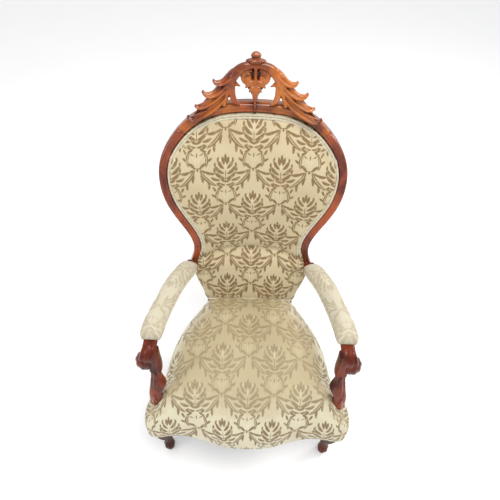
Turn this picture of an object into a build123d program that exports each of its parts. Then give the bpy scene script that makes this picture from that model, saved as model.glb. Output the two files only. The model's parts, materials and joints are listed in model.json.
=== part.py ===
from build123d import *
import math
import os

# Balloon-back armchair: a carved mahogany frame, a sprung seat and a padded back and arms.
# Millimetres.  X runs to the sitter's left hand side, Y runs from front to back, Z is up.
# The chair is drawn about the middle of its seat frame, then moved back by origin_shift, so that
# the finished parts have their origin on the floor, at the middle of the chair's footprint.

os.makedirs("parts", exist_ok=True)

# ---------------------------------------------------------------- driving dimensions
# Seat frame
apron_bottom = 228          # lower edge of the upholstered seat
rail_bottom = 238           # underside of the four seat rails
rail_top = 284              # top of the four seat rails
rail_thickness = 26
leg_x = 262                 # front leg centre, sideways
leg_y = -270                # front leg centre, front to back
leg_block = 44              # square top of each front leg
seat_crown = 416            # highest point of the domed seat
crown_y = -100              # the dome closes in towards this line
cover_thickness = 2.5       # damask with its wadding
gap = 0.4                   # between a soft layer and the layer next to it

# Back frame
back_radius = 900           # the back is hollowed from side to side by this radius
wood_width = 24             # width of the hoop's moulded face
wood_depth = 28             # depth of the hoop, front to back
post_x = 136                # back posts at the seat, sideways
post_front_y = 118          # front face of the back posts at the seat
shoulder = 0.31             # place along the half hoop where the crest rail meets a stile

# Rear feet
rear_foot = 28
rear_foot_y = 276           # centre of the raked rear foot
origin_shift = 15.77        # moves the drawing back so that the footprint is centred

# Arms
arm_wood_width = 38
arm_wood_depth = 20
arm_pad_width = 62
arm_pad_height = 42
arm_pad_rise = 9            # the pad's centre sits this far above the centre of the wood

# Cresting
crest_base = 994
crest_rake = math.radians(13)
crest_thickness = 20

# Fastenings
dowel = 8
small_dowel = 6
spring_wire = 3.6
spring_radius = 27
spring_turns = 5
webbing_width = 50
webbing_thickness = 1.4

sides = (("right", 1), ("left", -1))

# Half of the hoop's outer edge, from the top of the back down to the arm: (x, z).
hoop_points = [
    (0, 988), (62, 986), (120, 976), (176, 949), (219, 910), (248, 864),
    (258, 800), (240, 722), (203, 652), (177, 582), (184, 540), (198, 506),
]
hoop_edge = Spline(*hoop_points, tangents=[(1, 0), (0.45, -1)])

# Centre line of a back post under the covers, from the waist to the seat frame: (x, z).
post_line = [(163, 585), (158, 545), (150, 490), (142, 440), (137, 388), (136, 340), (136, 275)]

# The inside back: height, depth of its front at the middle, half width of the opening.
back_levels = [
    (388, 104, 124), (425, 113, 128), (470, 127, 134), (515, 145, 141), (545, 153, 146),
    (600, 159, 156), (660, 165, 184), (740, 172, 218), (820, 190, 232), (900, 215, 205),
    (978, 253, 150),
]


# ---------------------------------------------------------------- shared geometry
def save(piece, label):
    """Move a finished piece to the chair's origin, label it and write it."""
    placed = Pos(0, origin_shift, 0) * piece.part
    placed.label = label
    export_step(placed, f"parts/{label}.step")


def back_front_y(z):
    """Depth of the frame's front at the middle: upright at the seat, raked above the waist."""
    return 128 + 16 * math.log(1 + math.exp((z - 530) / 55))


def frame_y(x, z):
    """Depth of the frame's front face, hollowed from side to side."""
    return back_front_y(z) - x * x / (2 * back_radius)


def hoop_point(t, inset, back=0.0):
    """A point beside the hoop's outer edge: t is 0 at the top, 1 and -1 at the two arms."""
    place = hoop_edge @ abs(t)
    along = hoop_edge % abs(t)
    x = place.X + along.Y * inset
    z = place.Y - along.X * inset
    return Vector(math.copysign(x, t), frame_y(x, z) + back, z)


def spread(start, end, count):
    """Evenly spaced numbers from start to end."""
    return [start + (end - start) * k / (count - 1) for k in range(count)]


def swept_bar(points, width, depth, corner, up, sections=9):
    """A bar of rounded rectangular section along a smooth line, depth kept along up."""
    line = Spline(*points)
    with BuildPart() as bar:
        for t in spread(0, 1, sections):
            with BuildSketch(Plane(origin=line @ t, x_dir=up, z_dir=line % t)):
                RectangleRounded(depth, width, corner)
        loft()
    return bar.part


def hoop_bar(first, last, sections):
    """The hoop's wood between two places on it, in its moulded section."""
    step = 0.004
    with BuildPart() as bar:
        for t in spread(first, last, sections):
            middle = hoop_point(t, wood_width / 2, wood_depth / 2)
            ahead = hoop_point(t + step, wood_width / 2, wood_depth / 2)
            with BuildSketch(Plane(origin=middle, x_dir=(0, 1, 0), z_dir=ahead - middle)):
                RectangleRounded(wood_depth, wood_width, 6)
        loft()
    return bar.part


def curved_slab(front, back, bottom=225, half_width=lambda z: 300):
    """The space between two depths, front(x, z) and back(x, z), from bottom to the top."""
    heights = [bottom] + [level[0] for level in back_levels if level[0] > bottom]
    with BuildPart() as slab:
        for z in heights:
            reach = [share * half_width(z) for share in (-1, -0.5, 0, 0.5, 1)]
            with BuildSketch(Plane.XY.offset(z)):
                with BuildLine():
                    near = Spline(*[(x, front(x, z)) for x in reach])
                    far = Spline(*[(x, back(x, z)) for x in reach])
                    Line(near @ 0, far @ 0)
                    Line(near @ 1, far @ 1)
                make_face()
        loft()
    return slab.part


def pad_level(z):
    """Depth of the inside back's middle, and half the opening's width, at height z."""
    low = back_levels[0]
    for high in back_levels:
        if z <= high[0]:
            break
        low = high
    share = 0 if high is low else min(1, max(0, (z - low[0]) / (high[0] - low[0])))
    return [low[k] + share * (high[k] - low[k]) for k in (1, 2)]


def pad_front(x, z):
    """Depth of the inside back's front: the middle set by back_levels, the rim by the frame."""
    middle, half = pad_level(z)
    return middle + (frame_y(half, z) - middle) * (x / half) ** 2


def pad_reach(z):
    """Half the width over which the padding is drawn, a little more than the opening."""
    return 1.12 * pad_level(z)[1]


def behind(depth):
    """A depth function this far behind the front of the frame."""
    return lambda x, z: frame_y(x, z) + depth


def opening_points(inset):
    """Outline of the space inside the hoop and, below the arms, between the posts: (x, z)."""
    upper = [hoop_point(t, inset) for t in spread(0, 0.80, 13)]
    right = [(p.X, p.Z) for p in upper]
    right += [(x + wood_width / 2 - inset, z) for x, z in post_line[1:5]]
    return right


def back_outline(inset):
    """The same outline as a closed prism through the whole depth of the back."""
    right = opening_points(inset)
    left = [(-x, z) for x, z in reversed(right[1:])]
    with BuildPart() as prism:
        with BuildSketch(Plane.XZ):
            with BuildLine():
                edge = Spline(*left, *right)
                Line(edge @ 0, edge @ 1)
            make_face()
        extrude(amount=450, both=True)
    return prism.part


# ---------------------------------------------------------------- seat: plan and dome
# Half of the seat's plan at the apron: x of the body, extra x at the front ear, y.
seat_plan = [
    (0, 0, -346), (70, 0, -341), (150, 0, -319), (225, 0, -314), (262, 30, -309),
    (256, 44, -262), (250, 10, -160), (228, 0, -40), (178, 0, 62), (146, 0, 103), (0, 0, 108),
]
seat_levels = (228, 264, 300, 336, 370, 398, 416)


def closing(z, start, power):
    """How far the dome has closed in at height z: 1 at start, towards 0 above the crown."""
    rise = max(0, (z - start) / (seat_crown + 3 - start))
    return (1 - rise ** power) ** (1 / power)


def seat_outline(z, inset=0):
    """The seat's closed outline at height z."""
    ear = 1 - min(1, max(0, (z - 280) / 56))
    half = []
    for x, ear_x, y in seat_plan:
        front = closing(z, apron_bottom, 1.8)
        rear = closing(z, 330, 2.5)
        side = closing(z, 285, 2.4)
        reach = y - crown_y
        reach *= front if reach < 0 else rear
        across = (x + ear_x * ear * ear * (3 - 2 * ear)) * side
        half.append((across * (1 - inset / 260), crown_y + reach * (1 - inset / 215)))
    return half + [(-x, y) for x, y in reversed(half[1:-1])]


def seat_dome(inset, drop):
    """The seat as a solid, inset all round and lowered by drop at the crown."""
    with BuildPart() as dome:
        for z in seat_levels:
            rise = (z - apron_bottom) / (seat_crown - apron_bottom)
            with BuildSketch(Plane.XY.offset(z - drop * rise * rise)):
                with BuildLine():
                    Spline(*seat_outline(z, inset), periodic=True)
                make_face()
        loft()
    return dome.part


# Outer faces of the rails in plan, right half, front to back.
front_rail_face = [(0, -318), (70, -314), (130, -299), (185, -291), (240, -288)]
side_rail_face = [(280, -248), (264, -205), (240, -144), (212, -34), (162, 62), (144, 118)]


# ---------------------------------------------------------------- dowels and screws
def peg(place, direction, radius, length):
    """A round peg centred on place."""
    with BuildPart() as pin:
        with BuildSketch(Plane(origin=place, z_dir=direction)):
            Circle(radius)
        extrude(amount=length / 2, both=True)
    return pin.part


def joint_dowels(side):
    """The dowels of the seat frame on one side."""
    pegs = []
    for z in (250, 272):
        pegs.append(peg((side * (leg_x - leg_block / 2), -276, z), (1, 0, 0), dowel / 2, 36))
        pegs.append(peg((side * 269, leg_y + leg_block / 2, z), (0, 1, 0), dowel / 2, 24))
    for z in (256, 274):
        pegs.append(peg((side * 131, post_front_y, z), (0, 1, 0), dowel / 2, 30))
    for z in (246, 265):
        pegs.append(peg((side * (post_x - 15), 133, z), (1, 0, 0), dowel / 2, 26))
    return pegs


knuckle_base_z = 486        # underside of the arm's knuckle, top of the arm support
support_top = (248, -216)
support_foot = (266, -236)

with BuildPart() as frame_dowels:
    for name, side in sides:
        for pin in joint_dowels(side):
            add(pin)
        add(peg((side * support_top[0], support_top[1], knuckle_base_z), (0, 0, 1), 4, 30))
save(frame_dowels, "frame_dowels")

with BuildPart() as crest_dowels:
    for name, side in sides:
        middle = hoop_point(side * shoulder, wood_width / 2, wood_depth / 2)
        ahead = hoop_point(side * (shoulder + 0.01), wood_width / 2, wood_depth / 2)
        for shift in (-6.5, 6.5):
            place = middle + Vector(0, shift, 0)
            add(peg(place, ahead - middle, small_dowel / 2, 36))
        for x in (78, 148):
            landing = hoop_point(side * x / 560, 2, 10)
            add(peg(landing, (0, math.sin(crest_rake), math.cos(crest_rake)), 2.5, 20))
save(crest_dowels, "crest_dowels")


def wood_screw(place, direction, length):
    """A countersunk wood screw: place is the middle of its head."""
    with BuildPart() as screw:
        with BuildSketch(Plane(origin=place, z_dir=direction)):
            Circle(5)
        with BuildSketch(Plane(origin=Vector(*place) + Vector(*direction) * 4, z_dir=direction)):
            Circle(2.4)
        loft()
        with BuildSketch(Plane(origin=Vector(*place) + Vector(*direction) * 4, z_dir=direction)):
            Circle(2.4)
        extrude(amount=length - 4)
    return screw.part


with BuildPart() as corner_screws:
    for name, side in sides:
        add(wood_screw((side * 208, -236, 252), (0, -1, 0), 42))
        add(wood_screw((side * 218, -220, 270), (side, 0, 0), 38))
        add(wood_screw((side * 98, 102, 270), (0, 1, 0), 30))
        add(wood_screw((side * 98, 90, 252), (side, 0, 0), 42))
save(corner_screws, "corner_screws")

with BuildPart() as arm_screws:
    for name, side in sides:
        add(wood_screw((side * support_foot[0], support_foot[1], rail_bottom), (0, 0, 1), 90))
        add(wood_screw((side * 176, 150.5, 531), (0, -1, 0), 52))
save(arm_screws, "arm_screws")


# ---------------------------------------------------------------- seat frame
def mirrored(points, side):
    return [(side * x, y) for x, y in points]


with BuildPart() as seat_rail_front:
    with BuildSketch(Plane.XY.offset(rail_bottom)):
        with BuildLine():
            left_face = mirrored(reversed(front_rail_face[1:]), -1)
            face = Spline(*left_face, *front_rail_face)
            Polyline(face @ 0, (-240, -262), (240, -262), face @ 1)
        make_face()
    extrude(amount=rail_top - rail_bottom)
    add(frame_dowels.part, mode=Mode.SUBTRACT)
    add(corner_screws.part, mode=Mode.SUBTRACT)
save(seat_rail_front, "seat_rail_front")


def side_rail(side):
    """A side rail, curved in plan from the front leg to the back post."""
    outer = mirrored(side_rail_face, side)
    inner = mirrored([(x - rail_thickness, y) for x, y in side_rail_face], side)
    with BuildPart() as rail:
        with BuildSketch(Plane.XY.offset(rail_bottom)):
            with BuildLine():
                face = Spline(*outer)
                back = Spline(*inner)
                Line(face @ 0, back @ 0)
                Line(face @ 1, back @ 1)
            make_face()
        extrude(amount=rail_top - rail_bottom)
        add(frame_dowels.part, mode=Mode.SUBTRACT)
        add(corner_screws.part, mode=Mode.SUBTRACT)
        add(arm_screws.part, mode=Mode.SUBTRACT)
    return rail


seat_rail_right = side_rail(1)
seat_rail_left = side_rail(-1)
save(seat_rail_right, "seat_rail_right")
save(seat_rail_left, "seat_rail_left")

back_rail_half = post_x - 15
with BuildPart() as seat_rail_back:
    with Locations((0, post_front_y + rail_thickness / 2, (rail_bottom + rail_top) / 2)):
        Box(2 * back_rail_half, rail_thickness, rail_top - rail_bottom)
    add(frame_dowels.part, mode=Mode.SUBTRACT)
    add(corner_screws.part, mode=Mode.SUBTRACT)
save(seat_rail_back, "seat_rail_back")


def front_leg(side):
    """A short cabriole leg: square top, full knee, slim ankle and a rounded toe, flat below."""
    # height, width, corner radius, how far it stands out from the leg's centre line
    profile = [(228, 44, 6, 0), (185, 46, 12, 5), (130, 36, 13, 3), (72, 26, 12, -2)]
    profile += [(30, 34, 16, 0), (0, 28, 13.5, 0)]
    with BuildPart() as leg:
        for z, width, corner, out in profile:
            centre = (side * (leg_x + out), leg_y - out)
            with BuildSketch(Plane.XY.offset(z)):
                with Locations(centre):
                    RectangleRounded(width, width, corner)
        loft()
        with BuildSketch(Plane.XY.offset(228)):
            with Locations((side * leg_x, leg_y)):
                Rectangle(leg_block, leg_block)
        extrude(amount=rail_top - 228)
        add(frame_dowels.part, mode=Mode.SUBTRACT)
    return leg


front_leg_right = front_leg(1)
front_leg_left = front_leg(-1)
save(front_leg_right, "front_leg_right")
save(front_leg_left, "front_leg_left")


# ---------------------------------------------------------------- back frame
def back_stile(side):
    """One piece of wood: hoop side, back post and raked rear leg."""
    middle = wood_depth / 2
    post_points = [(side * x, frame_y(x, z) + middle, z) for x, z in post_line]
    with BuildPart() as stile:
        add(hoop_bar(side * shoulder, side * 0.99, 14))
        add(swept_bar(post_points, wood_width, wood_depth, 3, (0, 1, 0)))
        for z in (rail_top, 225, 150, 75, 0):
            drop = (rail_top - z) / rail_top
            rake = (rear_foot_y - post_front_y - wood_depth / 2) * drop ** 1.2
            centre = (side * (post_x + 10 * drop), post_front_y + wood_depth / 2 + rake)
            width = 30 - (30 - rear_foot) * drop
            with BuildSketch(Plane.XY.offset(z)):
                with Locations(centre):
                    RectangleRounded(width, rear_foot, 3)
        loft()
        add(frame_dowels.part, mode=Mode.SUBTRACT)
        add(crest_dowels.part, mode=Mode.SUBTRACT)
        add(arm_screws.part, mode=Mode.SUBTRACT)
        add(seat_rail_back.part, mode=Mode.SUBTRACT)
        add(seat_rail_right.part if side > 0 else seat_rail_left.part, mode=Mode.SUBTRACT)
    return stile


back_stile_right = back_stile(1)
back_stile_left = back_stile(-1)
save(back_stile_right, "back_stile_right")
save(back_stile_left, "back_stile_left")

with BuildPart() as crest_rail:
    add(hoop_bar(-shoulder, shoulder, 13))
    add(crest_dowels.part, mode=Mode.SUBTRACT)
save(crest_rail, "crest_rail")

lower_rail = curved_slab(behind(17.5), behind(wood_depth))
with BuildPart() as back_lower_rail:
    with Locations((0, 130, 418)):
        Box(2 * post_x - 4, 200, 40)
    add(lower_rail, mode=Mode.INTERSECT)
    add(back_stile_right.part, mode=Mode.SUBTRACT)
    add(back_stile_left.part, mode=Mode.SUBTRACT)
save(back_lower_rail, "back_lower_rail")


# ---------------------------------------------------------------- arms
# Centre line of the arm's wood, from the back stile to the front: (x, y, z).
arm_points = [
    (178, 132, 526), (192, 78, 536), (214, 22, 545), (234, -45, 552), (248, -110, 557),
    (255, -160, 560), (256, -202, 560),
]


def arm_line(side, first, last):
    """The stretch of the arm's centre line between two shares of its length."""
    whole = Spline(*[(side * x, y, z) for x, y, z in arm_points])
    return [whole @ t for t in spread(first, last, 9)]


def arm_bar(side, first, last, width, height, corner, rise):
    """A bar along the arm, of the given section, its centre rise above the wood's centre."""
    points = [p + Vector(0, 0, rise) for p in arm_line(side, first, last)]
    return swept_bar(points, width, height, corner, (0, 0, 1))


def knuckle(side, grow=0):
    """The scroll at the front of the arm: it rolls forwards, outwards and down."""
    # angle turned, distance from the roll's centre, width, height, outward shift
    steps = [(0, 26, 38, 16, 0), (40, 25, 46, 22, 4), (80, 22, 54, 28, 10), (125, 17, 56, 30, 13)]
    centre_y = -200
    centre_z = 560 - 26
    with BuildPart() as scroll:
        for turn, reach, width, height, out in steps:
            angle = math.radians(turn)
            origin = (
                side * (256 + out),
                centre_y - reach * math.sin(angle),
                centre_z + reach * math.cos(angle),
            )
            ahead = (0, -math.cos(angle), -math.sin(angle))
            with BuildSketch(Plane(origin=origin, x_dir=(1, 0, 0), z_dir=ahead)):
                RectangleRounded(width + grow, height + grow, 6)
        loft()
    return scroll.part


def arm_support(side, grow=0):
    """The scrolled arm support: a slim neck that swells into a bowed foot on the side rail."""
    # height, x, y, width, depth
    steps = [
        (knuckle_base_z, 248, -216, 32, 30), (452, 250, -222, 33, 30), (418, 250, -230, 46, 34),
        (378, 260, -238, 38, 36), (335, 263, -240, 40, 36), (rail_top, 264, -236, 30, 28),
    ]
    with BuildPart() as support:
        for z, x, y, width, depth in steps:
            with BuildSketch(Plane.XY.offset(z)):
                with Locations((side * x, y)):
                    RectangleRounded(width + grow, depth + grow, 9)
        loft()
    return support


for name, side in sides:
    support = arm_support(side)
    stile = back_stile_right if side > 0 else back_stile_left
    with BuildPart() as arm_rail:
        add(arm_bar(side, 0, 1, arm_wood_width, arm_wood_depth, 4, 0))
        add(knuckle(side))
        with BuildSketch(Plane.XY.offset(knuckle_base_z)):
            with Locations((side * support_top[0], support_top[1] + 2)):
                RectangleRounded(32, 30, 9)
        extrude(amount=560 - knuckle_base_z)
        add(stile.part, mode=Mode.SUBTRACT)
        add(frame_dowels.part, mode=Mode.SUBTRACT)
        add(arm_screws.part, mode=Mode.SUBTRACT)
    with BuildPart() as arm_support_piece:
        add(support.part)
        add(frame_dowels.part, mode=Mode.SUBTRACT)
        add(arm_screws.part, mode=Mode.SUBTRACT)
    with BuildPart() as arm_stuffing:
        skin = 2 * (cover_thickness + 2 * gap)
        add(arm_bar(side, 0.07, 0.945, arm_pad_width - skin, arm_pad_height - skin, 11,
                    arm_pad_rise))
        add(arm_bar(side, 0.0, 1, arm_wood_width + gap, arm_wood_depth + gap, 4, 0),
            mode=Mode.SUBTRACT)
    with BuildPart() as arm_cover:
        skin = 2 * cover_thickness
        add(arm_bar(side, 0.07, 0.953, arm_pad_width, arm_pad_height, 14, arm_pad_rise))
        add(arm_bar(side, 0.0, 0.946, arm_pad_width - skin, arm_pad_height - skin, 12,
                    arm_pad_rise), mode=Mode.SUBTRACT)
        add(arm_bar(side, 0.0, 1, arm_wood_width + gap, arm_wood_depth + gap, 4, 0),
            mode=Mode.SUBTRACT)
    save(arm_rail, f"arm_rail_{name}")
    save(arm_support_piece, f"arm_support_{name}")
    save(arm_stuffing, f"arm_stuffing_{name}")
    save(arm_cover, f"arm_cover_{name}")


# ---------------------------------------------------------------- cresting
crest_up = Vector(0, math.sin(crest_rake), math.cos(crest_rake))
crest_front = Vector(0, -math.cos(crest_rake), math.sin(crest_rake))
crest_foot = Vector(0, back_front_y(crest_base), crest_base)
crest_plane = Plane(origin=crest_foot, x_dir=(1, 0, 0), z_dir=crest_front)


def on_crest(points, side=1):
    """Turn (x, z) points into places on the raked plane of the cresting."""
    return [(side * x, (z - crest_base) / math.cos(crest_rake)) for x, z in points]


with BuildPart() as crest_board:
    with BuildSketch(Plane(origin=crest_foot - crest_up * 70, x_dir=(1, 0, 0), z_dir=crest_up)):
        with BuildLine():
            sweep_x = 190
            sweep_y = -sweep_x ** 2 / (2 * back_radius)
            near = ThreePointArc((-sweep_x, sweep_y), (0, 0), (sweep_x, sweep_y))
            far = ThreePointArc(
                (-sweep_x, sweep_y + crest_thickness),
                (0, crest_thickness),
                (sweep_x, sweep_y + crest_thickness),
            )
            Line(near @ 0, far @ 0)
            Line(near @ 1, far @ 1)
        make_face()
    extrude(amount=200)

# Half of the pierced cresting: scroll, four leaf tips, stem foot, inner leaf, spur and volute.
spray_outline = [
    (0, 1086), (30, 1084), (53, 1072), (67, 1060), (80, 1049), (104, 1049), (95, 1030),
    (130, 1024), (123, 1008), (141, 1003), (151, 988), (170, 976), (172, 950), (150, 952),
    (96, 972), (74, 976), (66, 1028), (60, 1010), (46, 980), (36, 980), (46, 1020), (38, 1030),
    (43, 1054), (34, 1066), (24, 1063), (32, 1051), (27, 1036), (18, 1031), (0, 1043),
]


def crest_spray(side):
    """One half of the cresting, cut from the curved board and fitted to the crest rail."""
    with BuildPart() as spray:
        with BuildSketch(crest_plane):
            with BuildLine():
                Polyline(*on_crest(spray_outline, side), close=True)
            make_face()
        extrude(amount=60, both=True)
        add(crest_board.part, mode=Mode.INTERSECT)
        add(crest_rail.part, mode=Mode.SUBTRACT)
        add(crest_dowels.part, mode=Mode.SUBTRACT)
    return spray


crest_spray_right = crest_spray(1)
crest_spray_left = crest_spray(-1)
save(crest_spray_right, "crest_spray_right")
save(crest_spray_left, "crest_spray_left")

pendant_outline = [
    (0, 1050), (14, 1040), (25, 1027), (15, 1017), (7, 1004), (3.5, 998), (3.5, 975), (0, 975),
]
with BuildPart() as crest_pendant:
    with BuildSketch(crest_plane):
        with BuildLine():
            right_half = on_crest(pendant_outline)
            left_half = on_crest(reversed(pendant_outline[1:-1]), -1)
            Polyline(*right_half, *left_half, close=True)
        make_face()
    extrude(amount=60, both=True)
    add(crest_board.part, mode=Mode.INTERSECT)
    add(crest_rail.part, mode=Mode.SUBTRACT)
    add(crest_spray_right.part, mode=Mode.SUBTRACT)
    add(crest_spray_left.part, mode=Mode.SUBTRACT)
save(crest_pendant, "crest_pendant")

finial_profile = [(0, 1078), (18, 1082), (22, 1089), (13, 1095), (11, 1102), (6, 1109), (0, 1111)]
finial_plane = Plane(
    origin=crest_foot - crest_front * crest_thickness / 2, x_dir=(1, 0, 0), z_dir=crest_front
)
with BuildPart() as crest_finial:
    with BuildSketch(finial_plane):
        with BuildLine():
            Polyline(*on_crest(finial_profile), close=True)
        make_face()
    revolve(axis=Axis(finial_plane.origin, crest_up))
    add(crest_spray_right.part, mode=Mode.SUBTRACT)
    add(crest_spray_left.part, mode=Mode.SUBTRACT)
save(crest_finial, "crest_finial")


# ---------------------------------------------------------------- corner blocks
block_outline = [(180, -262), (240, -262), (240, -248), (262, -248), (232, -190)]
rear_block_outline = [(80, 118), (121, 118), (140, 118), (152, 60)]
with BuildPart() as corner_blocks:
    for name, side in sides:
        for outline in (block_outline, rear_block_outline):
            with BuildSketch(Plane.XY.offset(rail_bottom + 4)):
                with BuildLine():
                    Polyline(*mirrored(outline, side), close=True)
                make_face()
            extrude(amount=rail_top - rail_bottom - 8)
    for piece in (seat_rail_left, seat_rail_right, seat_rail_front, seat_rail_back):
        add(piece.part, mode=Mode.SUBTRACT)
    for piece in (back_stile_left, back_stile_right, frame_dowels, corner_screws):
        add(piece.part, mode=Mode.SUBTRACT)
save(corner_blocks, "corner_blocks")


# ---------------------------------------------------------------- seat upholstery
rail_openings = [(0, -262), (214, -262), (214, -190), (205, -120), (182, -34), (134, 62)]
rail_openings += [(115, 96), (0, 96)]

with BuildPart() as seat_webbing:
    layer = webbing_thickness
    with Locations(*[(x, -75, rail_bottom - layer / 2) for x in (-99, -33, 33, 99)]):
        Box(webbing_width, 430, layer)
    with Locations((0, -200, rail_bottom - 1.5 * layer), (0, -128, rail_bottom - 1.5 * layer)):
        Box(440, webbing_width, layer)
    with Locations((0, -56, rail_bottom - 1.5 * layer)):
        Box(390, webbing_width, layer)
    with Locations((0, 16, rail_bottom - 1.5 * layer)):
        Box(320, webbing_width, layer)
save(seat_webbing, "seat_webbing")

spring_top = 346
spring_pitch = (spring_top - rail_bottom - spring_wire - 1) / spring_turns
with BuildPart() as one_spring:
    coil = Helix(spring_pitch, spring_pitch * spring_turns, spring_radius)
    with BuildSketch(Plane(origin=coil @ 0, z_dir=coil % 0)):
        Circle(spring_wire / 2)
    sweep(path=coil, is_frenet=True)

spring_floor = rail_bottom + spring_wire / 2 + 0.5
with BuildPart() as seat_springs:
    for y in (-200, -128, -56):
        for x in (-99, -33, 33, 99):
            with Locations((x, y, spring_floor)):
                add(one_spring.part)
    for x in (-66, 0, 66):
        with Locations((x, 16, spring_floor)):
            add(one_spring.part)
save(seat_springs, "seat_springs")


def spring_space(inset, bottom, top):
    """The space over the springs, inside the rails."""
    with BuildPart() as space:
        with BuildSketch(Plane.XY.offset(bottom)):
            with BuildLine():
                right = []
                for x, y in rail_openings:
                    back_set = inset if y < -200 else 0
                    right.append((max(0, x - inset), y + back_set))
                left = mirrored(reversed(right[1:-1]), -1)
                Polyline(*right, *left, close=True)
            make_face()
        extrude(amount=top - bottom)
    return space.part


hessian_z = spring_top + 1
pad_floor = hessian_z + 1.6
with BuildPart() as seat_hessian:
    add(spring_space(14, hessian_z, hessian_z + 1.2))
save(seat_hessian, "seat_hessian")

# Everything of the seat frame, with a little room round it, for the stuffing to fit over.
frame_room = 0.6
with BuildPart() as frame_space:
    with BuildSketch(Plane.XY.offset(apron_bottom - 10)):
        with BuildLine():
            face = [(x, y - frame_room) for x, y in front_rail_face]
            corner = leg_x + leg_block / 2 + frame_room
            front = leg_y - leg_block / 2 - frame_room
            faces = [(x + frame_room, y) for x, y in side_rail_face]
            right = [(corner, front), (corner, leg_y + leg_block / 2)]
            bow = Spline(*mirrored(reversed(face[1:]), -1), *face)
            flank = Spline(*faces)
            other_flank = Spline(*mirrored(faces, -1))
            Polyline(bow @ 1, *right, flank @ 0)
            Polyline(bow @ 0, *mirrored(right, -1), other_flank @ 0)
            Polyline(flank @ 1, (flank @ 1) + Vector(0, 10), (other_flank @ 1) + Vector(0, 10),
                     other_flank @ 1)
        make_face()
    extrude(amount=rail_top + gap - apron_bottom + 10)

support_room = [arm_support(side, 3).part for name, side in sides]
with BuildPart() as seat_stuffing:
    add(seat_dome(cover_thickness + gap, cover_thickness + gap))
    add(frame_space.part, mode=Mode.SUBTRACT)
    add(spring_space(12, rail_top - 5, pad_floor), mode=Mode.SUBTRACT)
    for room in support_room:
        add(room, mode=Mode.SUBTRACT)
save(seat_stuffing, "seat_stuffing")

with BuildPart() as seat_cover:
    add(seat_dome(0, 0))
    add(seat_dome(cover_thickness, cover_thickness), mode=Mode.SUBTRACT)
    for room in support_room:
        add(room, mode=Mode.SUBTRACT)
    with Locations((0, 118, 290)):
        Box(270, 40, 160, mode=Mode.SUBTRACT)
save(seat_cover, "seat_cover")

cloth_z = rail_bottom - 2 * webbing_thickness - 1.4
with BuildPart() as seat_dust_cloth:
    with BuildSketch(Plane.XY.offset(cloth_z)):
        with BuildLine():
            near = [(0, -312), (70, -308), (130, -293), (185, -285), (238, -282)]
            edge = [(238, -246), (256, -205), (232, -144), (204, -34), (154, 62), (120, 112)]
            half = near + edge
            Polyline(*half, *mirrored(reversed(half[1:]), -1), close=True)
        make_face()
    extrude(amount=1)
save(seat_dust_cloth, "seat_dust_cloth")


# ---------------------------------------------------------------- back upholstery
pad_inset = wood_width + 1.2
stuffing_depth = 22
back_opening = back_outline(pad_inset)


def padding(front, back):
    """A layer of the back's padding, inside the opening."""
    with BuildPart() as layer:
        add(back_opening)
        add(curved_slab(front, back, 380, pad_reach), mode=Mode.INTERSECT)
    return layer


back_cover = padding(pad_front, lambda x, z: pad_front(x, z) + cover_thickness)
save(back_cover, "back_cover")

with BuildPart() as lower_rail_room:
    with Locations((0, 160, 418)):
        Box(400, 60, 42)
with BuildPart() as back_stuffing:
    add(padding(lambda x, z: pad_front(x, z) + cover_thickness + gap, behind(stuffing_depth)).part)
    add(lower_rail_room.part, mode=Mode.SUBTRACT)
save(back_stuffing, "back_stuffing")

with BuildPart() as back_webbing:
    with Locations(*[(0, 200, z) for z in (500, 590, 680, 770, 860)]):
        Box(600, 400, webbing_width)
    add(curved_slab(behind(stuffing_depth + gap), behind(stuffing_depth + gap + webbing_thickness)),
        mode=Mode.INTERSECT)
    add(back_opening, mode=Mode.INTERSECT)
save(back_webbing, "back_webbing")

with BuildPart() as outside_back_cover:
    add(back_outline(wood_width / 2))
    with Locations((0, 200, 330)):
        Box(2 * (post_x + 12), 400, 190)
    add(curved_slab(behind(wood_depth + 5), behind(wood_depth + 5 + cover_thickness)),
        mode=Mode.INTERSECT)
save(outside_back_cover, "outside_back_cover")

piping = 5
with BuildPart() as back_piping:
    places = spread(-0.95, 0.95, 23)
    line = Spline(*[hoop_point(t, wood_width + 1, -piping / 2 - 1.5) for t in places])
    with BuildSketch(Plane(origin=line @ 0, z_dir=line % 0)):
        Circle(piping / 2)
    sweep(path=line)
save(back_piping, "back_piping")
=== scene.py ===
import json
import math

import bmesh
import bpy
import numpy as np
from mathutils import Matrix, Vector


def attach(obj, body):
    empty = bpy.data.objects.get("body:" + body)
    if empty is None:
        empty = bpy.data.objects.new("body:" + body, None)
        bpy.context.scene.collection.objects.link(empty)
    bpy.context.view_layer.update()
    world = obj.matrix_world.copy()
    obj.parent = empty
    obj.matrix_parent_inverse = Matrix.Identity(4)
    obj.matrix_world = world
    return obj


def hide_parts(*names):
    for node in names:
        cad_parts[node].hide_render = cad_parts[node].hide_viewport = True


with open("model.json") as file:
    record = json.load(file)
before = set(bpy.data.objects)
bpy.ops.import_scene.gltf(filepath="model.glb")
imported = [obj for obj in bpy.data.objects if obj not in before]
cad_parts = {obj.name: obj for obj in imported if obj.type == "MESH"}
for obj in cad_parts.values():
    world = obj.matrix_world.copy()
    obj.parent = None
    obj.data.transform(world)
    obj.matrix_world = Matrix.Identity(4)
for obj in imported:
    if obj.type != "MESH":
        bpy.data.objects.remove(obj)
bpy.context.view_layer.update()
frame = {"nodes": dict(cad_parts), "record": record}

# The chair is drawn in millimetres about the middle of its seat frame, as the CAD parts are.
# MM turns that into metres and ORIGIN_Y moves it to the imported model's origin.
MM = 0.001
ORIGIN_Y = 15.77

SIDES = (("right", 1), ("left", -1))

# The seat's tacked lower edge and its crown, the bend of the back, and the thickness of the wood
# and of the cloth.
SEAT_BOTTOM = 228
SEAT_CROWN = 418
CROWN_Y = -100
BACK_RADIUS = 900
WOOD_DEPTH = 28
FABRIC = 1.6

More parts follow.
